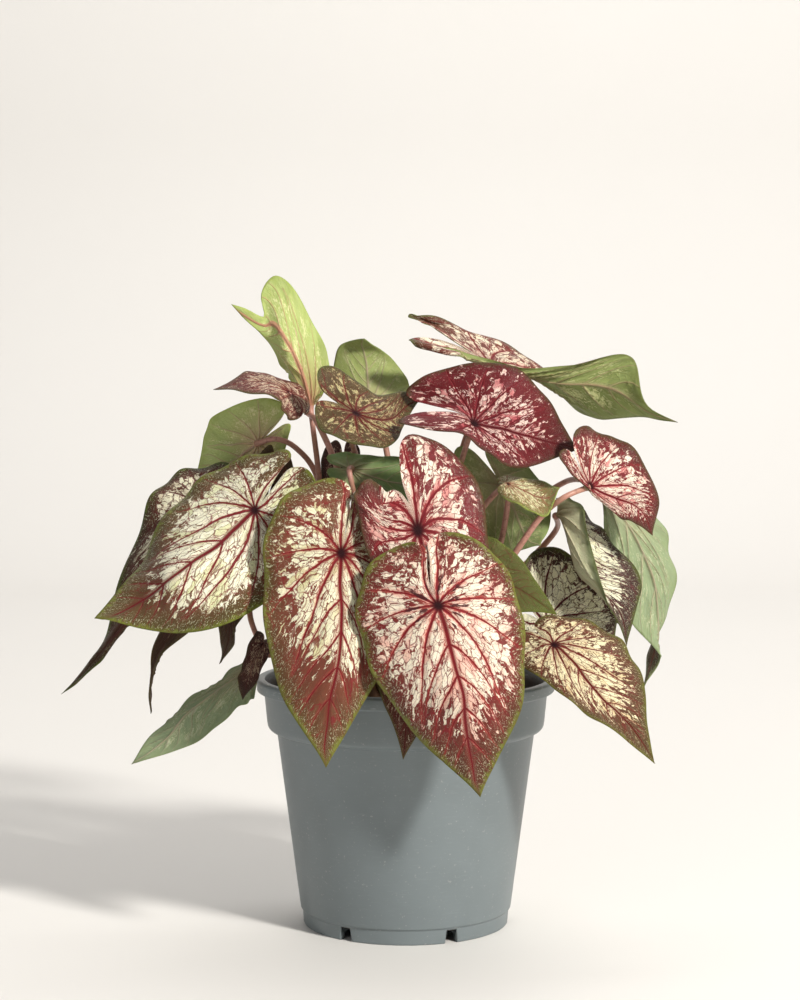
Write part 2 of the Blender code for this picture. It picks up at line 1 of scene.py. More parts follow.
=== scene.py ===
"""The looks of a caladium in its nursery pot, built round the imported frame, in metres with +Z up.

The frame's origin is on the pot's axis, on the surface that it stands on; -Y is the side seen in the
photograph. The sections follow the plant from its pot up: pot, soil, tuber, blades, stalks, stage.
"""

import math

import bpy
import numpy as np
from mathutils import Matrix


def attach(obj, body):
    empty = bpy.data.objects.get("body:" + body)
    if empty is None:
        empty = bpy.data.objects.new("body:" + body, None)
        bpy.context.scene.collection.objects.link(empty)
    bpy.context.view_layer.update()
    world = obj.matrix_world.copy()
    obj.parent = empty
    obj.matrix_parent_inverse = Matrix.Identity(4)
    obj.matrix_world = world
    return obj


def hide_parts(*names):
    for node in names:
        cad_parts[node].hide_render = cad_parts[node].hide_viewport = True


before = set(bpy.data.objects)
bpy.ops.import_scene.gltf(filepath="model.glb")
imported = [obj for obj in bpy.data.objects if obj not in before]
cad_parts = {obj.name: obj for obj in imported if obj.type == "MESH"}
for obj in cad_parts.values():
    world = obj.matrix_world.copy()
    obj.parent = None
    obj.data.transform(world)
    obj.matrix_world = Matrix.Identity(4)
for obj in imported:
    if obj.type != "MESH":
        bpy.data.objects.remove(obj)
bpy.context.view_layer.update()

# THE VIEW
# The photograph was taken a little above the pot's rim with a long lens, looking slightly down. Its
# centre, slope and focal length in pixels place every sighting of the leaves, so the camera comes first.
VIEW_POINT = np.array([-0.0023, -0.900, 0.225])
VIEW_PITCH = math.radians(3.5)
VIEW_FOCUS = 2256.0
PICTURE = np.array([800.0, 1000.0])
SENSOR_MM = 36.0

lens = bpy.data.cameras.new("camera")
lens.sensor_fit = "VERTICAL"
lens.sensor_height = SENSOR_MM
lens.lens = SENSOR_MM * VIEW_FOCUS / PICTURE[1]
camera = bpy.data.objects.new("camera", lens)
camera.location = VIEW_POINT
camera.rotation_euler = (math.pi / 2 - VIEW_PITCH, 0.0, 0.0)
bpy.context.scene.collection.objects.link(camera)
bpy.context.scene.camera = camera


def sighted(places):
    """Points in space for rows of (px across, px down, mm behind the axis): where each line of sight
    view point + t * (ahead + across * x + up * y) reaches that depth."""
    places = np.atleast_2d(np.array(places, dtype=float))
    x = (places[:, 0:1] - PICTURE[0] / 2) / VIEW_FOCUS
    y = (PICTURE[1] / 2 - places[:, 1:2]) / VIEW_FOCUS
    ahead = np.array([0.0, math.cos(VIEW_PITCH), -math.sin(VIEW_PITCH)])
    up = np.array([0.0, math.sin(VIEW_PITCH), math.cos(VIEW_PITCH)])
    lines = ahead + x * np.array([1.0, 0.0, 0.0]) + y * up
    reach = (places[:, 2:3] / 1000.0 - VIEW_POINT[1]) / lines[:, 1:2]
    return VIEW_POINT + lines * reach


# POT
# A round nursery pot injection moulded in slate grey polypropylene 1.2 mm thick: a plain tapered
# wall, a raised band with a rolled lip, and a foot ring with six drain slots. It stands loose.
RIM_RADIUS = 0.0600
POT_HEIGHT = 0.0990
LIP_Z = 0.0940
BAND_TOP_RADIUS = 0.0568
BAND_FOOT_RADIUS = 0.0556
BAND_FOOT_Z = 0.0785
BODY_TOP_RADIUS = 0.0517
BODY_FOOT_RADIUS = 0.0423
FOOT_RING_RADIUS = 0.0411
FOOT_RING_HEIGHT = 0.0058
CENTRE_PAD_RADIUS = 0.0260
CHANNEL_RADII = (0.0285, 0.0385)
CHANNEL_Z = 0.0030
FLOOR_Z = 0.0046
WALL = 0.0012
POT_STEPS = 240
SLOT_DEGREES = [-34.6 + 60.0 * k for k in range(6)]
SLOT_WIDTHS = (0.0057, 0.0043)
SLOT_RADII = (0.031, 0.046)
SLATE = (0.138, 0.164, 0.172)
# The near-black of the painted shade inside the band, the colour of peat.
BAND_INSIDE_SHADE = (0.045, 0.030, 0.020)
GATE_MARK = (386.5, 943.0, -42.5)


class Wiring:
    """Nodes of one material or group: each call adds a node and gives its output back."""

    def __init__(self, tree):
        self.tree = tree

    def node(self, kind, output=0, **inputs):
        """A node of a kind. Inputs are sockets by name or number (_0, _1), other names are settings."""
        made = self.tree.nodes.new("ShaderNode" + kind)
        later = {}
        for name, value in inputs.items():
            if hasattr(made, name) and not name.startswith("_"):
                setattr(made, name, value)
            else:
                later[name] = value
        for name, value in later.items():
            key = int(name[1:]) if name.startswith("_") else name.replace("_", " ")
            socket = made.inputs[key]
            if isinstance(value, bpy.types.NodeSocket):
                self.tree.links.new(value, socket)
            else:
                socket.default_value = value
        return made.outputs[output]

    def math(self, operation, a, b=0.0, c=0.0):
        return self.node("Math", operation=operation, _0=a, _1=b, _2=c)

    def times(self, a, b):
        return self.math("MULTIPLY", a, b)

    def plus(self, a, b):
        return self.math("ADD", a, b)

    def less(self, a, b):
        return self.math("SUBTRACT", a, b)

    def times_plus(self, a, b, c):
        return self.math("MULTIPLY_ADD", a, b, c)

    def here(self):
        """The place in the piece's own axes, which is output 3 of the texture coordinates."""
        return self.node("TexCoord", 3)

    def part(self, vector, number):
        return self.node("SeparateXYZ", number, _0=vector)

    def length(self, vector):
        return self.node("VectorMath", 1, operation="LENGTH", _0=vector)

    def cracks(self, place, scale):
        """Distance from the nearest edge between cells."""
        return self.node("TexVoronoi", 0, feature="DISTANCE_TO_EDGE", _0=place, Scale=scale)

    def step(self, value, low, high, to_low=0.0, to_high=1.0):
        """A smooth step of a value, from to_low at low to to_high at high."""
        return self.node("MapRange", interpolation_type="SMOOTHSTEP", _0=value,
                         _1=low, _2=high, _3=to_low, _4=to_high)

    def mix(self, share, a, b):
        """Colour a turning to colour b."""
        made = self.tree.nodes.new("ShaderNodeMix")
        made.data_type = "RGBA"
        for key, value in ((0, share), (6, a), (7, b)):
            if isinstance(value, bpy.types.NodeSocket):
                self.tree.links.new(value, made.inputs[key])
            elif key == 0:
                made.inputs[key].default_value = value
            else:
                made.inputs[key].default_value = (*value, 1.0)
        return made.outputs[2]

    def noise(self, place, scale, detail=2.0, roughness=0.5):
        return self.node("TexNoise", _0=place, Scale=scale, Detail=detail, Roughness=roughness)


def new_finish(name, specular):
    """An empty material, its wiring and its one shader, whose reflection at normal incidence is set."""
    material = bpy.data.materials.new(name)
    material.use_nodes = True
    shader = material.node_tree.nodes["Principled BSDF"]
    shader.inputs["Specular IOR Level"].default_value = specular
    return material, Wiring(material.node_tree), shader


def wire_finish(wiring, shader, colour, roughness, height=None, distance=0.0002, strength=0.5):
    """Joins a colour, a roughness and a relief in metres to a shader."""
    links = wiring.tree.links
    links.new(colour, shader.inputs["Base Color"])
    links.new(roughness, shader.inputs["Roughness"])
    if height is not None:
        bump = wiring.node("Bump", Strength=strength, Distance=distance, Height=height)
        links.new(bump, shader.inputs["Normal"])


def add_piece(name, points, faces, finishes, shade=None):
    """A smooth-shaded piece from an array of points and a list of faces. shade has each face's finish."""
    mesh = bpy.data.meshes.new(name)
    mesh.from_pydata(points.tolist(), [], faces)
    for finish in finishes:
        mesh.materials.append(finish)
    if shade is not None:
        mesh.polygons.foreach_set("material_index", shade)
    mesh.shade_smooth()
    mesh.update()
    piece = bpy.data.objects.new(name, mesh)
    bpy.context.scene.collection.objects.link(piece)
    return piece


def ring_walls(rings, steps):
    """Quads between neighbouring rings: i*steps + j, then j + 1 on that ring, then both on the next."""
    j = np.arange(steps)
    k = (j + 1) % steps
    i = np.arange(rings - 1)[:, None] * steps
    return np.stack([i + j, i + k, i + steps + k, i + steps + j], axis=-1).reshape(-1, 4)


def lathe(profile, angles, lift=None):
    """Points and faces of a closed turned body: point (i, j) is profile place i carried to angle j, and
    the first and last profile places are on the axis. lift(radius, z, angle) may move its heights."""
    profile = np.array(profile)
    radius, z = profile[1:-1, 0:1], profile[1:-1, 1:2]
    turn = np.array(angles)[None]
    height = z + 0.0 * turn if lift is None else lift(radius, z, turn)
    rings = np.stack([radius * np.sin(turn), -radius * np.cos(turn), height], axis=-1)
    count, steps = rings.shape[:2]
    ends = np.array([[0.0, 0.0, profile[0, 1]], [0.0, 0.0, profile[-1, 1]]])
    points = np.vstack([rings.reshape(-1, 3), ends])
    j = np.arange(steps)
    k = (j + 1) % steps
    first, last = count * steps, count * steps + 1
    low = np.stack([k, j, first + 0 * j], axis=-1)
    high = np.stack([(count - 1) * steps + j, (count - 1) * steps + k, last + 0 * j], axis=-1)
    return points, ring_walls(count, steps).tolist() + low.tolist() + high.tolist()


def rounded(profile, size, steps=5):
    """The profile with each inner corner cut back by size, or less on short sides, and joined by a curve
    (1 - t)^2 * before + 2t(1 - t) * corner + t^2 * after."""
    profile = np.array(profile)
    made = [profile[0]]
    for before, corner, after in zip(profile[:-2], profile[1:-1], profile[2:]):
        back, on = before - corner, after - corner
        cut = min(size, 0.45 * np.linalg.norm(back), 0.45 * np.linalg.norm(on))
        a = corner + back / np.linalg.norm(back) * cut
        b = corner + on / np.linalg.norm(on) * cut
        t = np.linspace(0.0, 1.0, steps)[:, None]
        made.extend((1 - t) ** 2 * a + 2 * t * (1 - t) * corner + t ** 2 * b)
    return made + [profile[-1]]


def pot_wall(z):
    """Radius inside the tapered wall, in proportion to the height between foot and band."""
    share = (z - FOOT_RING_HEIGHT) / (BAND_FOOT_Z - FOOT_RING_HEIGHT)
    return BODY_FOOT_RADIUS + (BODY_TOP_RADIUS - BODY_FOOT_RADIUS) * share - WALL


def pot_profile():
    """Places (radius, z) from the middle of the underside, up the outside and down the inside."""
    return [
        (0.0, 0.0), (CENTRE_PAD_RADIUS, 0.0), (CHANNEL_RADII[0], CHANNEL_Z),
        (CHANNEL_RADII[1] - 0.0004, CHANNEL_Z), (CHANNEL_RADII[1], 0.0), (FOOT_RING_RADIUS, 0.0),
        (FOOT_RING_RADIUS + 0.0004, FOOT_RING_HEIGHT), (BODY_FOOT_RADIUS, FOOT_RING_HEIGHT + 0.0006),
        (BODY_TOP_RADIUS, BAND_FOOT_Z - 0.0008), (BODY_TOP_RADIUS + 0.0026, BAND_FOOT_Z),
        (BAND_FOOT_RADIUS - 0.0003, BAND_FOOT_Z + 0.0012), (BAND_FOOT_RADIUS, BAND_FOOT_Z + 0.0030),
        (BAND_TOP_RADIUS, LIP_Z - 0.0004), (RIM_RADIUS - 0.0004, LIP_Z),
        (RIM_RADIUS, POT_HEIGHT - 0.0008), (RIM_RADIUS - 0.0008, POT_HEIGHT),
        (BAND_TOP_RADIUS - 0.0002, POT_HEIGHT), (BAND_TOP_RADIUS - WALL, LIP_Z),
        (BAND_FOOT_RADIUS - WALL, BAND_FOOT_Z + 0.0026), (BODY_TOP_RADIUS + 0.0002, BAND_FOOT_Z + 0.0008),
        (pot_wall(BAND_FOOT_Z), BAND_FOOT_Z - 0.0016), (pot_wall(FLOOR_Z) - 0.0002, FLOOR_Z),
        (0.0, FLOOR_Z - 0.0010),
    ]


def slot_cutter():
    """Points and faces of the six drain slots: wedges narrower at the top, each a box of eight corners."""
    corners = []
    for degrees in SLOT_DEGREES:
        a = math.radians(degrees)
        out, side = np.array([math.sin(a), -math.cos(a)]), np.array([math.cos(a), math.sin(a)])
        for z, width in ((-0.001, SLOT_WIDTHS[0]), (FOOT_RING_HEIGHT - 0.0004, SLOT_WIDTHS[1])):
            for radius, half in ((0, -0.5), (1, -0.5), (1, 0.5), (0, 0.5)):
                corners.append([*(out * SLOT_RADII[radius] + side * half * width), z])
    box = np.array([(3, 2, 1, 0), (4, 5, 6, 7), (0, 1, 5, 4), (1, 2, 6, 5), (2, 3, 7, 6), (3, 0, 4, 7)])
    return np.array(corners), np.vstack([box + 8 * k for k in range(len(SLOT_DEGREES))]).tolist()


def plastic_finish():
    """Moulded slate plastic: satin, faint flow streaks down the wall, fine grain, pale scratches that are
    scuffs, with a painted highlight where they crowd on the lip's top, the small round mark of the mould's
    gate and painted shade, dark as peat, on the inside of the band."""
    material, w, shader = new_finish("pot_plastic", specular=0.6)
    place = w.here()
    streaks = w.noise(w.node("Mapping", Vector=place, Scale=(1.0, 1.0, 0.12)), 160.0, 3.0)
    cloud = w.noise(place, 26.0, 3.0, 0.6)
    colour = w.mix(w.step(cloud, 0.3, 0.7), SLATE, tuple(1.14 * c for c in SLATE))
    z = w.part(place, 2)
    scratch = w.noise(w.node("Mapping", Vector=place, Scale=(0.4, 0.4, 3.0)), 420.0, 4.0, 0.7)
    # Pale scratches all round, much stronger on the lip's top: scuffs, and on the lip also a painted
    # highlight.
    high = w.step(z, LIP_Z - 0.001, LIP_Z + 0.002)
    scuffs_and_lip_glint = w.times(w.step(scratch, 0.56, 0.70), w.plus(w.times(high, 0.55), 0.06))
    colour = w.mix(scuffs_and_lip_glint, colour, (0.42, 0.45, 0.44))
    gate = tuple(sighted(GATE_MARK)[0])
    off = w.node("VectorMath", 1, operation="DISTANCE", _0=place, _1=gate)
    ring = w.times(w.step(off, 0.0006, 0.0009), w.step(off, 0.0014, 0.0011))
    colour = w.mix(w.times(ring, 0.6), colour, tuple(0.55 * c for c in SLATE))
    dust = w.times(w.step(w.noise(place, 900.0, 2.0), 0.66, 0.74), 0.25)
    colour = w.mix(dust, colour, (0.48, 0.46, 0.42))
    # Inside the band is where the radius falls short of the band's outer slope.
    radius = w.length(w.node("VectorMath", operation="MULTIPLY", _0=place, _1=(1.0, 1.0, 0.0)))
    slope = (BAND_TOP_RADIUS - BAND_FOOT_RADIUS) / (LIP_Z - BAND_FOOT_Z - 0.0030)
    start = BAND_FOOT_RADIUS - slope * (BAND_FOOT_Z + 0.0030)
    past = w.less(radius, w.times_plus(z, slope, start))
    inside = w.times(w.step(past, -0.0004, -0.0008), w.step(z, 0.0830, 0.0840))
    # Painted shade: below a ragged line under the lip, the inside of the band is darkened nearly to peat's
    # colour.
    painted_band_shade = w.times(inside, w.step(w.times_plus(scratch, 0.004, z), 0.1000, 0.0965))
    colour = w.mix(w.times(painted_band_shade, 0.92), colour, BAND_INSIDE_SHADE)
    rough = w.plus(w.times(streaks, 0.10), w.times_plus(cloud, 0.10, 0.33))
    grain = w.plus(w.times(w.noise(place, 2600.0, 2.0), 0.35), streaks)
    wire_finish(w, shader, colour, rough, grain, distance=0.0001, strength=0.25)
    return material


def make_pot():
    angles = np.linspace(0.0, 2.0 * math.pi, POT_STEPS, endpoint=False)
    points, faces = lathe(rounded(pot_profile(), 0.0006), angles)
    pot = add_piece("pot_shell", points, faces, [plastic_finish()])
    cutter = add_piece("slot_cutter", *slot_cutter(), [])
    cut = pot.modifiers.new("slots", "BOOLEAN")
    cut.operation = "DIFFERENCE"
    cut.solver = "EXACT"
    cut.object = cutter
    shape = bpy.data.meshes.new_from_object(pot.evaluated_get(bpy.context.evaluated_depsgraph_get()))
    pot.modifiers.clear()
    pot.data = shape
    bpy.data.objects.remove(cutter)
    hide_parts("pot")
    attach(pot, "root")


make_pot()

# SOIL
# Dark peat with coarse fibres, filled to 9 mm under the rim and holding the tuber. It is loose stuff:
# a bed with a crumbly top, single crumbs and fibres lying on it.
SOIL_Z = 0.0896
SOIL_RADIUS = 0.0546
SOIL_RINGS = 70
SOIL_STEPS = 240
SOIL_FOOT_Z = 0.0049
CRUMBS = 420
CRUMB_STEPS = 8
CRUMB_DEGREES = (-60, -25, 10, 45, 78)
FIBRES = 110
FIBRE_PLACES = 9
PEAT = (0.030, 0.019, 0.012)
chance = np.random.default_rng(7)


def lumps(x, y, scale, count=24, seed=1):
    """A bumpy field of about -1 to 1: count sine waves of about one scale in random directions, summed
    and divided by 1.4 sqrt(count)."""
    draw = np.random.default_rng(seed)
    turn, shift = draw.uniform(0, 2 * math.pi, (2, count))
    rate = draw.uniform(0.6, 1.7, count) * scale
    waves = [np.sin(r * (x * math.cos(t) + y * math.sin(t)) + s) for r, t, s in zip(rate, turn, shift)]
    return np.sum(waves, axis=0) / math.sqrt(count) / 1.4


def peat_finish():
    """Crumbly peat: near black, with brown fibres and a few pale grains."""
    material, w, shader = new_finish("soil_peat", specular=0.25)
    place = w.here()
    crumb = w.noise(place, 420.0, 5.0, 0.7)
    grain = w.node("TexVoronoi", 1, _0=place, Scale=700.0)
    colour = w.mix(w.step(crumb, 0.35, 0.7), PEAT, (0.095, 0.060, 0.036))
    colour = w.mix(w.times(w.step(w.noise(place, 1500.0, 2.0), 0.66, 0.72), 0.6),
                   colour, (0.28, 0.20, 0.13))
    rough = w.step(crumb, 0.2, 0.8, 0.75, 0.98)
    relief = w.plus(crumb, w.node("SeparateColor", 0, _0=grain))
    wire_finish(w, shader, colour, rough, relief, distance=0.0012, strength=0.9)
    return material


def soil_top(x, y):
    """Height of the soil: a slow swell, coarse crumbs and fine ones, sinking a little at the wall."""
    far = np.hypot(x, y) / SOIL_RADIUS
    coarse = 0.0007 * lumps(x, y, 900.0, seed=3)
    fine = 0.00035 * lumps(x, y, 2600.0, seed=4)
    return SOIL_Z + 0.0008 * lumps(x, y, 180.0, seed=2) + coarse + fine - 0.0025 * far ** 12


def make_soil():
    angles = np.linspace(0.0, 2.0 * math.pi, SOIL_STEPS, endpoint=False)
    low = [(0.0, SOIL_FOOT_Z), (pot_wall(SOIL_FOOT_Z) - 0.0006, SOIL_FOOT_Z)]
    side = [(pot_wall(z) - 0.0004, z) for z in (0.070, 0.0765)] + [(SOIL_RADIUS - 0.0016, 0.0810)]
    top = [(SOIL_RADIUS * (1 - i / SOIL_RINGS), SOIL_Z) for i in range(SOIL_RINGS)]

    def lift(radius, z, turn):
        x, y = radius * np.sin(turn), -radius * np.cos(turn)
        return np.where(z < SOIL_Z - 0.001, z + 0.0 * turn, soil_top(x, y))

    points, faces = lathe(low + side + top + [(0.0, SOIL_Z)], angles, lift)
    finish = peat_finish()
    soil = add_piece("soil_bed", points, faces, [finish])
    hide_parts("soil")
    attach(soil, "root")
    make_crumbs(finish)


def make_crumbs(finish):
    """Loose crumbs on the soil outside the tuber's crown: balls of rings of points at size * wobble."""
    radius = np.sqrt(chance.uniform(0.020 ** 2, (SOIL_RADIUS - 0.002) ** 2, CRUMBS))
    turn = chance.uniform(0, 2 * math.pi, CRUMBS)
    centre = np.stack([radius * np.sin(turn), -radius * np.cos(turn)], axis=-1)
    size = chance.uniform(0.0005, 0.0016, CRUMBS) * chance.uniform(0.5, 1.0, CRUMBS)
    a = np.linspace(0, 2 * math.pi, CRUMB_STEPS, endpoint=False)
    b = np.radians(CRUMB_DEGREES)[:, None]
    ball = np.stack([np.cos(b) * np.cos(a), np.cos(b) * np.sin(a), np.sin(b) + 0 * a], axis=-1)
    wobble = chance.uniform(0.75, 1.25, (CRUMBS, len(CRUMB_DEGREES), CRUMB_STEPS, 1))
    balls = ball[None] * wobble * size[:, None, None, None]
    balls[..., :2] += centre[:, None, None]
    balls[..., 2] += (soil_top(centre[:, 0], centre[:, 1]) + size * 0.3)[:, None, None]
    sides = ring_walls(len(CRUMB_DEGREES), CRUMB_STEPS)
    each = CRUMB_STEPS * len(CRUMB_DEGREES)
    faces, caps = [], []
    for start in range(0, each * CRUMBS, each):
        faces += (sides + start).tolist()
        caps.append(list(range(start, start + CRUMB_STEPS))[::-1])
        caps.append(list(range(start + each - CRUMB_STEPS, start + each)))
    crumbs = add_piece("soil_crumbs", balls.reshape(-1, 3), faces + caps, [finish])
    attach(crumbs, "root")


def make_fibres():
    """Coarse fibres lying on the soil: fibre places are centre + t * length * direction + bend * t^2
    sideways for t from -1/2 to 1/2, each place a triangle round the line, and the ends closed."""
    radius = np.sqrt(chance.uniform(0.022 ** 2, (SOIL_RADIUS - 0.009) ** 2, FIBRES))
    turn, heading = chance.uniform(0, 2 * math.pi, (2, FIBRES))
    length = chance.uniform(0.004, 0.013, FIBRES)[:, None]
    t = np.linspace(-0.5, 0.5, FIBRE_PLACES)[None]
    off = chance.uniform(-0.6, 0.6, FIBRES)[:, None] * length * t ** 2
    c, s = np.cos(heading)[:, None], np.sin(heading)[:, None]
    x = (radius * np.sin(turn))[:, None] + t * length * c - off * s
    y = (-radius * np.cos(turn))[:, None] + t * length * s + off * c
    z = soil_top(x, y) + 0.0004 + chance.uniform(0.0, 0.0012, FIBRES)[:, None] * (1 - 4 * t ** 2)
    thick = (chance.uniform(0.00012, 0.00034, FIBRES)[:, None] * (1.15 - 2 * t ** 2))[..., None]
    round_it = np.radians([90.0, 210.0, 330.0])
    side = np.stack([-np.sin(heading), np.cos(heading), 0 * heading], axis=-1)[:, None, None]
    ring = side * np.cos(round_it)[:, None] + np.array([0.0, 0.0, 1.0]) * np.sin(round_it)[:, None]
    points = np.stack([x, y, z], axis=-1)[:, :, None] + ring * thick[..., None]
    sides = ring_walls(FIBRE_PLACES, 3)
    each = 3 * FIBRE_PLACES
    faces = []
    for start in range(0, each * FIBRES, each):
        end = start + each
        faces += (sides + start).tolist() + [[start + 2, start + 1, start], [end - 3, end - 2, end - 1]]
    material, w, shader = new_finish("soil_fibre", specular=0.25)
    place = w.here()
    speck = w.noise(place, 300.0, 3.0)
    colour = w.mix(w.step(speck, 0.35, 0.65), (0.10, 0.058, 0.032), (0.33, 0.22, 0.13))
    wire_finish(w, shader, colour, w.step(speck, 0.2, 0.8, 0.7, 0.9))
    fibres = add_piece("soil_fibres", points.reshape(-1, 3), faces, [material])
    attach(fibres, "root")


make_soil()
make_fibres()

# TUBER
# The brown corm that every leaf grows from: a flattened ball with ring scars and papery skin. Only its
# crown stands out of the soil, hidden among the stalks.
TUBER_RADIUS = 0.0177
TUBER_TOP_Z = 0.0925
TUBER_BOTTOM_Z = 0.0690


def crown_z(radius):
    """Height of the crown: middle + half * sqrt(1 - (radius / whole)^2.5)."""
    middle, half = (TUBER_TOP_Z + TUBER_BOTTOM_Z) / 2, (TUBER_TOP_Z - TUBER_BOTTOM_Z) / 2
    return middle + half * math.sqrt(1.0 - min(radius / TUBER_RADIUS, 0.999) ** 2.5)


def make_tuber():
    """Rings of radius whole * cos(a)^0.8 * (1 - 0.018 |sin 9a|^0.5): a low ridge every 20 degrees."""
    middle, half = (TUBER_TOP_Z + TUBER_BOTTOM_Z) / 2, (TUBER_TOP_Z - TUBER_BOTTOM_Z) / 2
    rise = np.radians(np.linspace(-84, 85, 60))
    scars = 1.0 - 0.018 * np.abs(np.sin(rise * 9.0)) ** 0.5
    rings = list(zip(TUBER_RADIUS * np.cos(rise) ** 0.8 * scars, middle + half * np.sin(rise)))
    angles = np.linspace(0.0, 2.0 * math.pi, 96, endpoint=False)
    points, faces = lathe([(0.0, TUBER_BOTTOM_Z)] + rings + [(0.0, TUBER_TOP_Z)], angles)
    material, w, shader = new_finish("tuber_bark", specular=0.3)
    place = w.here()
    skin = w.noise(w.node("Mapping", Vector=place, Scale=(1.0, 1.0, 3.0)), 300.0, 5.0, 0.65)
    colour = w.mix(w.step(skin, 0.35, 0.65), (0.05, 0.028, 0.016), (0.16, 0.09, 0.05))
    wire_finish(w, shader, colour, w.step(skin, 0.2, 0.8, 0.65, 0.9), skin, distance=0.0006, strength=0.8)
    tuber = add_piece("tuber_corm", points, faces, [material])
    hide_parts("tuber")
    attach(tuber, "root")


make_tuber()

# BLADES
# Each leaf is one thin heart-shaped blade held at its hub, satin above and matt below. Red veins run
# out from the hub, cream patches lie between them in a dark net, and the margin is olive edged in lime.
BLADE_THICKNESS = 0.0005
GRID_SIZES = ((0.055, 208, 52), (0.034, 160, 40), (0.0, 104, 26))  # blade length over, steps round, rings
PUCKER = 0.0075
GROOVE = 0.0035
HUB_DEPTH = 0.018
VEIN_RIDGE = 0.004
WAVES_ROUND = 9
RUFFLE = 0.014
NORMAL_STEP = 0.004
CELL_SCALE = 24.0
MIDRIB = (0.0, 0.0, 0.0, 1.02, 0.0095)
SIDE_VEINS = (
    (0.00, 160.0, 0.45, 0.37, 0.0066), (0.00, 129.0, -0.60, 0.38, 0.0060),
    (0.00, 97.0, -0.70, 0.38, 0.0060), (0.00, 68.0, -0.80, 0.44, 0.0064),
    (0.00, 37.0, -0.50, 0.58, 0.0068), (0.23, 50.0, -0.90, 0.38, 0.0042),
    (0.39, 50.0, -1.00, 0.33, 0.0040), (0.54, 48.0, -1.20, 0.26, 0.0036),
    (0.68, 44.0, -1.40, 0.19, 0.0030),
)  # start along the midrib, degrees from the tip, bend, length, half width: shares of blade length
FAN_DEGREES = 42.0
# Colours and amounts of each look; the rows below the first one say what differs from it. inner and outer
# are the ground at the middle and the margin, light and blush the patches, halo the red beside the veins.
# cover is how much of the middle is pale, bare how wide the margin stays plain, tip how far the patches
# thin out towards the tip, net how dark the lines through them are, glow how strong the halo is, fleck how
# speckled the margin is and dash how marked the dark dashes round the hub are. The under face is under
# green with ghost patches, and its midrib and veins are rib, with the midrib thick times as wide.
FIRST_LOOK = dict(
    inner=(0.19, 0.022, 0.022), outer=(0.085, 0.034, 0.017), edge=(0.16, 0.185, 0.03),
    light=(0.86, 0.78, 0.62), blush=(0.8, 0.5, 0.4), vein=(0.2, 0.01, 0.016), halo=(0.56, 0.085, 0.07),
    cover=0.4, bare=0.0, tip=0.22, net=0.9, glow=0.8, fleck=0.9, dash=0.0, under=(0.15, 0.2, 0.085),
    ghost=(0.42, 0.42, 0.23), rib=(0.4, 0.22, 0.15), thick=1.0,
)
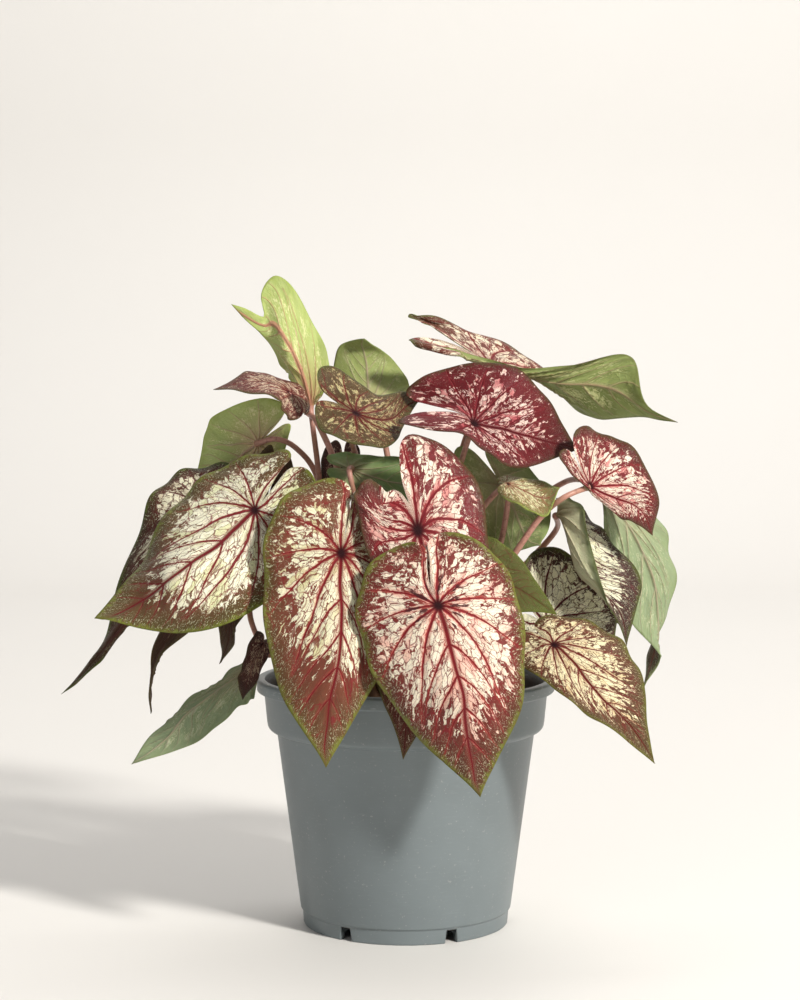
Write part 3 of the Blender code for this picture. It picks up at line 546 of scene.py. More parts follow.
LOOKS = {
    "cream_red": FIRST_LOOK | dict(dash=0.95),
    "cream_pink": FIRST_LOOK | dict(
        inner=(0.19, 0.045, 0.03), outer=(0.105, 0.052, 0.02), light=(0.82, 0.79, 0.58),
        blush=(0.66, 0.62, 0.36), halo=(0.42, 0.065, 0.055), cover=0.38, bare=0.03, tip=0.36, glow=0.7,
    ),
    "cream_green": FIRST_LOOK | dict(
        inner=(0.15, 0.06, 0.034), outer=(0.085, 0.055, 0.018), edge=(0.16, 0.195, 0.026),
        light=(0.82, 0.8, 0.62), blush=(0.66, 0.67, 0.4), vein=(0.17, 0.008, 0.014),
        halo=(0.3, 0.04, 0.042), cover=0.46, bare=0.04, tip=0.42, glow=0.5,
    ),
    "cream_brown": FIRST_LOOK | dict(
        inner=(0.105, 0.03, 0.02), outer=(0.05, 0.026, 0.011), edge=(0.08, 0.12, 0.016),
        light=(0.74, 0.71, 0.53), blush=(0.6, 0.54, 0.38), vein=(0.09, 0.01, 0.012),
        halo=(0.16, 0.028, 0.025), bare=0.02, tip=0.5, glow=0.4, under=(0.13, 0.1, 0.05),
        rib=(0.22, 0.1, 0.07),
    ),
    "withered": FIRST_LOOK | dict(
        inner=(0.1, 0.045, 0.032), outer=(0.07, 0.04, 0.022), edge=(0.1, 0.085, 0.032),
        light=(0.3, 0.22, 0.13), blush=(0.2, 0.14, 0.08), vein=(0.09, 0.03, 0.022),
        halo=(0.13, 0.048, 0.035), cover=0.24, bare=0.05, tip=0.3, net=0.5, glow=0.3, fleck=0.4,
        under=(0.14, 0.095, 0.055), ghost=(0.27, 0.21, 0.12), rib=(0.2, 0.1, 0.07),
    ),
    "maroon": FIRST_LOOK | dict(
        inner=(0.075, 0.022, 0.018), outer=(0.045, 0.017, 0.012), edge=(0.06, 0.042, 0.016),
        light=(0.6, 0.48, 0.34), blush=(0.38, 0.22, 0.15), vein=(0.09, 0.012, 0.013),
        halo=(0.12, 0.028, 0.024), cover=0.28, bare=0.02, tip=0.1, glow=0.3, fleck=0.5,
        under=(0.1, 0.05, 0.034), ghost=(0.38, 0.27, 0.19), rib=(0.16, 0.06, 0.045),
    ),
    "sage": FIRST_LOOK | dict(
        inner=(0.2, 0.12, 0.07), outer=(0.085, 0.06, 0.026), edge=(0.22, 0.28, 0.13),
        light=(0.7, 0.68, 0.52), vein=(0.27, 0.1, 0.07), halo=(0.4, 0.15, 0.12), cover=0.34,
        under=(0.27, 0.33, 0.19), ghost=(0.55, 0.56, 0.38), rib=(0.46, 0.4, 0.27),
    ),
    "lime": FIRST_LOOK | dict(
        inner=(0.26, 0.2, 0.08), outer=(0.16, 0.17, 0.045), edge=(0.3, 0.38, 0.08),
        light=(0.8, 0.78, 0.48), blush=(0.68, 0.58, 0.34), vein=(0.34, 0.08, 0.06),
        halo=(0.45, 0.18, 0.12), cover=0.34, glow=0.5, under=(0.4, 0.47, 0.17), ghost=(0.7, 0.69, 0.38),
        rib=(0.6, 0.4, 0.28),
    ),
    "green": FIRST_LOOK | dict(
        inner=(0.13, 0.14, 0.06), outer=(0.07, 0.085, 0.026), edge=(0.2, 0.26, 0.08),
        light=(0.55, 0.55, 0.36), vein=(0.2, 0.13, 0.07), halo=(0.24, 0.1, 0.07), cover=0.34, glow=0.4,
        under=(0.24, 0.3, 0.12), ghost=(0.5, 0.52, 0.27), rib=(0.45, 0.38, 0.24),
    ),
    "green_back": FIRST_LOOK | dict(
        inner=(0.16, 0.036, 0.028), outer=(0.075, 0.045, 0.02), edge=(0.1, 0.12, 0.03),
        light=(0.78, 0.69, 0.52), blush=(0.64, 0.4, 0.31), vein=(0.17, 0.012, 0.016),
        halo=(0.3, 0.06, 0.05), cover=0.36, under=(0.25, 0.3, 0.1), ghost=(0.54, 0.55, 0.27),
        rib=(0.42, 0.32, 0.18),
    ),
    "crimson": FIRST_LOOK | dict(
        inner=(0.135, 0.008, 0.013), outer=(0.07, 0.013, 0.012), edge=(0.065, 0.04, 0.014),
        light=(0.8, 0.6, 0.52), blush=(0.5, 0.12, 0.13), vein=(0.1, 0.003, 0.007),
        halo=(0.3, 0.018, 0.03), cover=0.29, bare=-0.02, tip=0.1, glow=0.55, fleck=0.35,
        under=(0.16, 0.04, 0.035),
    ),
    "crimson_cream": FIRST_LOOK | dict(
        inner=(0.17, 0.013, 0.018), outer=(0.08, 0.02, 0.015), edge=(0.08, 0.055, 0.018),
        light=(0.85, 0.74, 0.6), blush=(0.66, 0.28, 0.25), vein=(0.15, 0.005, 0.01),
        halo=(0.4, 0.035, 0.042), cover=0.37, bare=0.01, tip=0.15, glow=0.7, fleck=0.5,
    ),
    "crimson_brown": FIRST_LOOK | dict(
        inner=(0.13, 0.02, 0.018), outer=(0.08, 0.032, 0.018), edge=(0.1, 0.095, 0.026),
        light=(0.66, 0.52, 0.38), blush=(0.46, 0.22, 0.16), vein=(0.14, 0.01, 0.013),
        halo=(0.26, 0.036, 0.034), cover=0.33, bare=-0.02, tip=0.1, glow=0.6, under=(0.13, 0.055, 0.038),
        ghost=(0.34, 0.19, 0.14),
    ),
    "olive_red": FIRST_LOOK | dict(
        inner=(0.085, 0.046, 0.02), outer=(0.06, 0.05, 0.016), edge=(0.075, 0.08, 0.02),
        light=(0.5, 0.44, 0.22), blush=(0.32, 0.19, 0.1), vein=(0.13, 0.012, 0.014),
        halo=(0.18, 0.036, 0.026), cover=0.27, bare=-0.02, tip=0.1, under=(0.1, 0.115, 0.042),
        ghost=(0.28, 0.25, 0.12),
    ),
    "olive": FIRST_LOOK | dict(
        inner=(0.1, 0.1, 0.026), outer=(0.085, 0.1, 0.02), edge=(0.13, 0.16, 0.025),
        light=(0.3, 0.32, 0.12), blush=(0.22, 0.19, 0.08), vein=(0.13, 0.05, 0.025),
        halo=(0.15, 0.08, 0.03), cover=0.12, glow=0.4, under=(0.1, 0.12, 0.038), ghost=(0.22, 0.24, 0.09),
    ),
    # cream_purple's large cover is partly painted light: the extra pale patches make up for the shade that
    # right_mid lies in.
    "cream_purple": FIRST_LOOK | dict(
        inner=(0.07, 0.026, 0.024), outer=(0.045, 0.022, 0.016), edge=(0.08, 0.1, 0.02),
        light=(0.8, 0.78, 0.58), blush=(0.64, 0.62, 0.42), vein=(0.09, 0.008, 0.013),
        halo=(0.18, 0.026, 0.032), cover=0.54, bare=0.01, tip=0.2, glow=0.35, under=(0.26, 0.3, 0.16),
        ghost=(0.58, 0.57, 0.38), rib=(0.42, 0.33, 0.22),
    ),
    "cream_yellow": FIRST_LOOK | dict(
        inner=(0.12, 0.036, 0.02), outer=(0.08, 0.045, 0.016), edge=(0.13, 0.14, 0.022),
        light=(0.82, 0.74, 0.48), blush=(0.7, 0.56, 0.32), vein=(0.15, 0.012, 0.013),
        halo=(0.28, 0.045, 0.035), cover=0.38, bare=0.01, tip=0.15, glow=0.5,
    ),
}

# Sightings of each blade's places (PLACES below) as (px across, px down, mm behind the pot's axis), left and
# right on its upper face with the tip up. base is where its stalk stands on the crown: mm from the axis and
# degrees from -Y towards +X; stalk gives sightings that the stalk passes on its way, and own what differs
# from the look.
LEAVES = {
    "front": dict(
        look="cream_red", base=(13.5, 12), stalk=[(428, 690, -36), (440, 680, -58), (446, 650, -76)],
        hub=(438, 605, -86), mid=(462, 700, -91), tip=(480, 798, -82), left=(520, 607, -80),
        left_side=(515, 722, -82), left_lobe=(462, 534, -74), left_in=(428, 545, -74),
        right=(361, 640, -76), right_side=(419, 738, -78), right_lobe=(386, 550, -70),
        right_in=(425, 550, -77), notch=(431, 588, -83),
    ),
    "front_left": dict(
        look="cream_pink", base=(13.5, -30), hub=(342, 553, -62), mid=(337, 660, -76),
        tip=(326, 768, -80), left=(400, 590, -54), left_side=(367, 697, -74), left_lobe=(380, 506, -44),
        left_in=(353, 494, -48), right=(263, 570, -58), right_side=(281, 694, -70),
        right_lobe=(306, 483, -50), right_in=(348, 491, -52), notch=(345, 535, -60),
    ),
    "left": dict(
        look="cream_green", base=(13.5, -71), hub=(255, 509, -40), mid=(173, 579, -60),
        tip=(95, 620, -54), left=(284, 588, -48), left_side=(178, 634, -54), left_lobe=(318, 488, -36),
        left_in=(291, 469, -30), right=(196, 484, -20), right_side=(139, 562, -34),
        right_lobe=(278, 452, -26), right_in=(287, 464, -33), notch=(262, 501, -38),
    ),
    "left_behind": dict(
        look="cream_brown", base=(13.5, -113), stalk=[(340, 620, -4), (270, 560, -6), (225, 520, 2)],
        hub=(210, 510, 0), mid=(150, 590, -12), tip=(62, 695, -10), left=(236, 580, -14),
        left_side=(124, 630, -8), left_end=(91, 673, -12), left_lobe=(262, 470, -4), right=(152, 496, 12),
        right_side=(107, 626, 0), right_end=(85, 666, -6), right_lobe=(218, 464, 14),
    ),
    "left_ribbon": dict(
        look="withered", base=(13.5, -136), hub=(222, 545, 30), mid=(176, 630, 24), tip=(151, 714, 22),
        left=(238, 590, 24), left_side=(162, 655, 20), left_end=(151, 692, 20), right=(186, 560, 34),
        right_side=(153, 655, 26), right_end=(147, 688, 24),
    ),
    "left_tip": dict(
        look="withered", base=(9, -148), hub=(262, 520, 14), mid=(238, 590, 10), tip=(218, 664, 12),
        left=(285, 560, 10), left_side=(236, 628, 8), left_end=(234, 645, 8), left_lobe=(292, 462, 8),
        right=(228, 550, 20), right_side=(220, 628, 14), right_end=(220, 647, 14),
        right_lobe=(265, 448, 8),
    ),
    "low_left": dict(
        look="sage", base=(13.5, -92), hub=(248, 670, -14), mid=(183, 718, -22), tip=(131, 764, -22),
        left=(222, 678, -6), left_side=(160, 727, -14), left_lobe=(258, 656, -4), right=(240, 706, -26),
        right_side=(195, 743, -28), right_lobe=(256, 690, -22),
    ),
    "low_left_curl": dict(
        look="maroon", base=(13.5, -51),
        stalk=[(340, 630, -24), (290, 590, -26), (254, 590, -30), (250, 615, -34)], hub=(262, 644, -40),
        tip=(243, 700, -42), left=(268, 656, -34), left_side=(256, 682, -38), left_end=(251, 690, -39),
        left_lobe=(272, 645, -32), right=(243, 664, -46), right_side=(238, 682, -46),
        right_end=(239, 690, -45), right_lobe=(258, 631, -42),
    ),
    "round_green": dict(
        look="lime", base=(9, -115), stalk=[(330, 530, 4), (316, 474, 8), (296, 448, 8), (276, 439, 8)],
        hub=(258, 443, 16), mid=(222, 470, 20), tip=(190, 500, 34), left=(222, 411, 22),
        left_side=(203, 446, 28), left_back=(256, 398, 14), left_lobe=(282, 403, 8), right=(262, 480, 20),
        right_side=(222, 500, 30), right_lobe=(290, 432, 8),
    ),
    "top": dict(
        look="lime", own=dict(thick=3.2, rib=(0.56, 0.27, 0.18)), base=(3.8, -80),
        stalk=[(324, 540, -2), (319, 477, 2), (313, 428, 2)], hub=(311, 405, 6), mid=(284, 342, -2),
        tip=(231, 304, 2), left=(326, 350, 8), left_side=(274, 275, 14), left_turn=(261, 299, 9),
        left_end=(264, 316, 6), left_point=(247, 309, 3), left_lobe=(318, 396, 4), right=(289, 374, 12),
        right_side=(269, 345, 6), right_end=(257, 329, 5), right_point=(243, 317, 4),
        right_lobe=(300, 396, 10),
    ),
    "left_roll": dict(
        look="crimson_brown", base=(9, -80),
        stalk=[(352, 540, -12), (340, 476, -12), (318, 424, -6), (306, 412, 6)], hub=(290, 393, -10),
        tip=(213, 389, -4), left=(278, 399, -24), left_side=(240, 392, -14), left_back=(282, 409, -26),
        left_lobe=(290, 420, -20), right=(272, 376, 6), right_side=(240, 375, 4),
        right_back=(302, 387, 2), right_lobe=(309, 410, -6), notch=(301, 402, -12),
    ),
    "top_curl": dict(
        look="olive_red", base=(3.8, -10), stalk=[(372, 560, -8), (362, 480, -8), (352, 440, -20)],
        hub=(356, 413, -34), tip=(420, 400, -8), left=(372, 392, -20), left_side=(402, 391, -8),
        left_back=(345, 372, -22), left_lobe=(320, 368, -28), right=(371, 447, -42),
        right_side=(402, 430, -22), right_back=(335, 438, -42), right_lobe=(316, 420, -36),
        notch=(341, 405, -30),
    ),
    # back_green's own under colour is lighter than the green look's: painted light that makes up for the
    # shade this leaf lies in.
    "back_green": dict(
        look="green", own=dict(under=(0.3, 0.35, 0.12)), base=(3.8, 90), hub=(370, 402, 14),
        tip=(364, 340, 14), left=(409, 384, 26), left_side=(386, 353, 24), left_lobe=(394, 403, 16),
        right=(333, 385, 24), right_side=(341, 344, 22), right_lobe=(350, 408, 14),
    ),
    "top_right": dict(
        look="green_back", base=(9, 150), hub=(492, 364, 8), mid=(570, 386, 2), tip=(678, 420, 0),
        left=(528, 356, 30), left_side=(596, 420, 14), left_turn=(622, 420, 8), left_end=(641, 418, 4),
        left_back=(474, 331, 30), left_lobe=(413, 315, 24), left_in=(430, 327, 22), right=(524, 368, 0),
        right_side=(627, 355, -4), right_turn=(638, 370, -6), right_end=(641, 386, -6),
        right_point=(651, 406, -4), right_back=(466, 352, 2), right_lobe=(413, 343, 0),
        right_in=(428, 338, 4),
    ),
    "red_high": dict(
        look="crimson", base=(9, 35), hub=(474, 423, -28), mid=(530, 436, -30), tip=(580, 449, -14),
        left=(498, 363, -16), left_side=(552, 406, -12), left_back=(450, 366, -14),
        left_lobe=(410, 386, -14), left_in=(424, 404, -16), right=(484, 450, -42),
        right_side=(530, 467, -34), right_back=(455, 433, -42), right_lobe=(400, 424, -36),
        right_in=(424, 412, -30), notch=(462, 415, -28),
    ),
    "red_centre": dict(
        look="crimson_cream", base=(9, 5), hub=(418, 530, -62), mid=(424, 600, -72), tip=(430, 668, -64),
        left=(489, 545, -54), left_side=(476, 622, -62), left_back=(477, 480, -46),
        left_lobe=(425, 437, -42), left_in=(400, 450, -46), right=(357, 512, -60),
        right_side=(398, 625, -68), right_lobe=(371, 478, -54), right_in=(386, 495, -56),
        notch=(409, 504, -58),
    ),
    "red_right": dict(
        look="crimson_cream", base=(9, 62),
        stalk=[(490, 590, -20), (515, 553, -26), (540, 518, -30), (563, 498, -36)], hub=(591, 486, -32),
        tip=(653, 535, -26), left=(628, 443, -18), left_side=(659, 503, -16), left_back=(604, 434, -14),
        left_lobe=(582, 426, -26), right=(604, 504, -28), right_side=(630, 521, -24),
        right_back=(574, 476, -38), right_lobe=(560, 455, -38),
    ),
    "right_hanging": dict(
        look="sage", base=(13.5, 112),
        stalk=[(470, 620, 10), (500, 560, 14), (535, 505, 14), (565, 482, 6), (586, 480, -10)],
        hub=(600, 484, -2), mid=(654, 580, 10), tip=(641, 688, 8), left=(602, 503, -2),
        left_side=(634, 625, 6), left_end=(660, 657, 6), left_lobe=(606, 464, 4), right=(668, 540, 20),
        right_side=(668, 617, 18), right_end=(646, 655, 16), right_lobe=(628, 476, 12),
    ),
    "right_mid": dict(
        look="cream_purple", base=(13.5, 70), hub=(546, 626, -16), tip=(628, 735, -30),
        left=(604, 588, -6), left_side=(615, 640, -10), left_back=(562, 549, -2),
        left_lobe=(526, 560, -6), right=(540, 670, -32), right_side=(590, 706, -34),
        right_lobe=(520, 640, -20),
    ),
    "low_right": dict(
        look="cream_yellow", base=(13.5, 51), hub=(554, 644, -54), mid=(604, 700, -60),
        tip=(655, 764, -62), left=(619, 640, -44), left_side=(646, 698, -54), left_back=(590, 622, -40),
        left_lobe=(548, 616, -42), right=(546, 682, -62), right_side=(602, 723, -66),
        right_back=(520, 664, -56), right_lobe=(512, 640, -50),
    ),
    "right_folded": dict(
        look="cream_purple", base=(13.5, 90), stalk=[(480, 610, 0), (530, 560, 6), (556, 530, 4)],
        hub=(560, 514, -16), mid=(583, 578, -22), tip=(626, 646, -28), left=(604, 532, -6),
        left_side=(643, 585, -12), left_lobe=(566, 500, 0), right=(584, 510, -26),
        right_side=(606, 592, -30), right_lobe=(557, 498, -18),
    ),
    "green_back": dict(
        look="green", base=(9, 116), stalk=[(455, 600, -10), (478, 520, -22), (492, 497, -24)],
        hub=(503, 487, -14), tip=(541, 546, -20), left=(480, 530, -8), left_side=(512, 552, -14),
        left_lobe=(455, 450, -12), right=(545, 490, -4), right_side=(548, 530, -16),
        right_lobe=(500, 450, -6),
    ),
    "right_curl": dict(
        look="lime", base=(9, 89),
        stalk=[(442, 660, -4), (480, 600, -12), (500, 545, -16), (508, 502, -22)], hub=(508, 484, -30),
        tip=(560, 488, -34), left=(522, 478, -22), left_side=(548, 483, -28), left_lobe=(498, 478, -24),
        right=(520, 505, -40), right_side=(548, 515, -40), right_lobe=(499, 494, -32),
    ),
    "dark_green": dict(
        look="green", own=dict(under=(0.2, 0.29, 0.12), cover=0.2), base=(9, -40), hub=(352, 470, -22),
        mid=(395, 484, -28), tip=(440, 496, -34), left=(372, 502, -28), left_side=(412, 504, -34),
        right=(372, 456, -20), right_side=(412, 462, -26),
    ),
    "small_brown": dict(
        look="maroon", base=(3.8, -150), stalk=[(372, 590, 6), (350, 520, 12), (345, 485, 10)],
        hub=(343, 466, 2), tip=(338, 525, -6), left=(360, 462, 4), left_lobe=(352, 440, 6),
        right=(321, 464, 6), right_lobe=(333, 441, 8),
    ),
    "olive": dict(
        look="olive", base=(13.5, 32), hub=(482, 570, -50), tip=(557, 615, -58), left=(500, 542, -46),
        left_side=(534, 577, -52), right=(470, 620, -56), right_side=(520, 612, -60),
    ),
    "under_front": dict(
        look="crimson_brown", base=(13.5, -8), hub=(398, 640, -50), tip=(403, 760, -68),
        left=(420, 662, -58), left_side=(426, 718, -66), right=(372, 664, -58),
        right_side=(390, 718, -66),
    ),
}

# Places on the flat blade in shares of its length: from the hub to the tip, and out to the left.
HALF_PLACES = {
    "": (0.1, 0.41), "_side": (0.65, 0.24), "_turn": (0.80, 0.135), "_end": (0.85, 0.10),
    "_point": (0.93, 0.042), "_back": (-0.15, 0.385), "_lobe": (-0.36, 0.20), "_in": (-0.30, 0.04),
}
PLACES = {"hub": (0.0, 0.0), "mid": (0.5, 0.0), "tip": (1.0, 0.0), "notch": (-0.10, 0.0)}
for side, sign in (("left", 1.0), ("right", -1.0)):
    PLACES |= {side + end: (u, sign * v) for end, (u, v) in HALF_PLACES.items()}
HALF_EDGE = (
    (1.00, 0.000), (0.93, 0.042), (0.80, 0.135), (0.65, 0.240), (0.50, 0.320),
    (0.30, 0.385), (0.10, 0.410), (-0.10, 0.395), (-0.27, 0.310), (-0.36, 0.200),
    (-0.375, 0.110), (-0.32, 0.045), (-0.20, 0.014), (-0.10, 0.000),
)


def smooth_line(points, count):
    """Catmull-Rom curve: between b and c, half of 2b + (c - a)s + (2a - 5b + 4c - d)s^2 +
    (3b - a - 3c + d)s^3."""
    p = np.array(points, dtype=float)
    p = np.vstack([2 * p[0] - p[1], p, 2 * p[-1] - p[-2]])
    t = np.linspace(0.0, len(p) - 3, count)
    i = np.minimum(t.astype(int), len(p) - 4)
    s = (t - i)[:, None]
    a, b, c, d = p[i], p[i + 1], p[i + 2], p[i + 3]
    square = (2 * a - 5 * b + 4 * c - d) * s ** 2
    cube = (3 * b - a - 3 * c + d) * s ** 3
    return 0.5 * (2 * b + (c - a) * s + square + cube)


def even_steps(line, count):
    """Points at equal distances along a fine line."""
    gone = np.r_[0.0, np.cumsum(np.linalg.norm(np.diff(line, axis=0), axis=1))]
    at = np.linspace(0.0, gone[-1], count)
    return np.stack([np.interp(at, gone, line[:, k]) for k in range(line.shape[1])], axis=-1)


def flat_edge(count):
    """The flat blade's edge as count points from the tip round by the left lobe and the notch."""
    half = even_steps(smooth_line(HALF_EDGE, 600), count // 2 + 1)
    return np.vstack([half, (half * (1.0, -1.0))[-2:0:-1]])


def pull(a, b):
    """Thin-plate kernel r^2 log r^2 between two sets of flat points."""
    square = ((a[:, None] - b[None]) ** 2).sum(axis=-1)
    return square * np.log(square + 1e-12)


def bending(leaf):
    """A function from flat blade points to space: the smoothest thin plate through the sightings."""
    names = [name for name in leaf if name in PLACES]
    flat = np.array([PLACES[name] for name in names])
    held = sighted([leaf[name] for name in names])
    ones = np.hstack([np.ones((len(flat), 1)), flat])
    system = np.block([[pull(flat, flat), ones], [ones.T, np.zeros((3, 3))]])
    weights = np.linalg.solve(system, np.vstack([held, np.zeros((3, 3))]))
    count = len(flat)

    def bend(points):
        linear = np.hstack([np.ones((len(points), 1)), points]) @ weights[count:]
        return pull(points, flat) @ weights[:count] + linear

    return bend


def vein_gap(u, v):
    """Distances from the nearest vein, plain and in vein half widths. A vein is y = bend * x^2 in its
    own frame, and its half width falls to a quarter along its length."""
    gaps, widths = [], []
    for start, degrees, bend, length, width in (MIDRIB,) + SIDE_VEINS:
        c, s = math.cos(math.radians(degrees)), math.sin(math.radians(degrees))
        p = np.abs(v)
        x, y = (u - start) * c + p * s, p * c - (u - start) * s
        beyond = np.maximum(np.maximum(-x, x - length), 0.0)
        gap = np.hypot(np.abs(y - bend * x ** 2), beyond)
        gaps.append(gap)
        widths.append(gap / np.maximum(width * (1.0 - 0.75 * x / length), 0.25 * width))
    return np.min(gaps, axis=0), np.min(widths, axis=0)


def fan_place(u, v):
    """Places along and across the veins' run: behind the line at FAN_DEGREES from the hub, the angle and
    the radius; ahead of it, where the line at that slope leaves the midrib, and the length of it."""
    p = np.abs(v)
    fan = math.radians(FAN_DEGREES)
    radius, angle = np.hypot(u, p), np.arctan2(p, u)
    leaves_at = u - p / math.tan(fan)
    across = np.where(leaves_at > 0, leaves_at, -(angle - fan) * 0.34)
    along = np.where(leaves_at > 0, p / math.sin(fan), radius)
    return np.stack([across, along], axis=-1)


def margin_gap(flat, edge):
    """Distance of flat points from the nearest stretch of the edge."""
    a, b = edge, np.roll(edge, -1, axis=0)
    run = b - a
    t = ((flat[:, None] - a) * run).sum(-1) / (run ** 2).sum(-1)
    near = a + np.clip(t, 0.0, 1.0)[..., None] * run
    return np.linalg.norm(flat[:, None] - near, axis=-1).min(axis=1)


def new_group(name, colours, numbers, outputs):
    """An empty node group with its inputs and outputs, and the wiring to fill it."""
    group = bpy.data.node_groups.new(name, "ShaderNodeTree")
    for kind, direction, names in (("Color", "INPUT", colours), ("Float", "INPUT", numbers),
                                   ("Color", "OUTPUT", outputs[:1]), ("Float", "OUTPUT", outputs[1:])):
        for socket in names:
            group.interface.new_socket(socket, in_out=direction, socket_type="NodeSocket" + kind)
    given = group.nodes.new("NodeGroupInput").outputs
    taken = group.nodes.new("NodeGroupOutput").inputs
    return group, Wiring(group), given, taken


def wire_veins(w, u, v):
    """Distance from the nearest vein in vein half widths: vein_gap in nodes, except that past a vein's
    ends the larger of the sideways and the lengthways gap counts."""
    p = w.math("ABSOLUTE", v)
    place = w.node("CombineXYZ", _0=u, _1=p, _2=1.0)
    nearest = None
    for start, degrees, bend, length, width in (MIDRIB,) + SIDE_VEINS:
        c, s = math.cos(math.radians(degrees)), math.sin(math.radians(degrees))
        x = w.node("VectorMath", 1, operation="DOT_PRODUCT", _0=place, _1=(c, s, -start * c))
        y = w.node("VectorMath", 1, operation="DOT_PRODUCT", _0=place, _1=(-s, c, start * s))
        off = w.math("ABSOLUTE", w.times_plus(w.times(x, x), -bend, y))
        wide = w.math("MAXIMUM", w.times_plus(x, -0.75 * width / length, width), 0.25 * width)
        gap = w.math("DIVIDE", off, wide)
        gap = w.math("MAXIMUM", gap, w.times(x, -1.0 / width))
        gap = w.math("MAXIMUM", gap, w.times_plus(x, 2.0 / width, -2.0 * length / width))
        nearest = gap if nearest is None else w.math("MINIMUM", nearest, gap)
    return nearest


def wire_blade_places(w, seed):
    """What a blade's pattern reads: its flat place u and v, its fan place, which is shaken a little and
    lies apart on the two sides of the midrib, and its distance from the margin."""
    flat = w.node("UVMap", uv_map="blade")
    u, v = w.part(flat, 0), w.part(flat, 1)
    fan = w.node("UVMap", uv_map="fan")
    side = w.math("MINIMUM", w.math("MAXIMUM", w.times(v, 60.0), -1.0), 1.0)
    side = w.times_plus(side, 3.7, seed)
    across, along = w.part(fan, 0), w.part(fan, 1)
    place = w.node("CombineXYZ", _0=across, _1=w.times(along, 0.85), _2=side)
    shake = w.node("TexNoise", 1, _0=w.node("CombineXYZ", _0=u, _1=v, _2=seed), Scale=26.0, Detail=3.0)
    place = w.node("VectorMath", operation="MULTIPLY_ADD", _0=shake, _1=(0.05, 0.05, 0.0), _2=place)
    # The two lobes' inner edges, beside the notch, are marked as the middle is and have no margin.
    beside = w.times(w.step(w.math("ABSOLUTE", v), 0.02, 0.10, 0.2, 0.0), w.step(u, 0.0, -0.05))
    rim = w.plus(w.node("Attribute", 2, attribute_name="rim"), beside)
    return u, v, place, rim


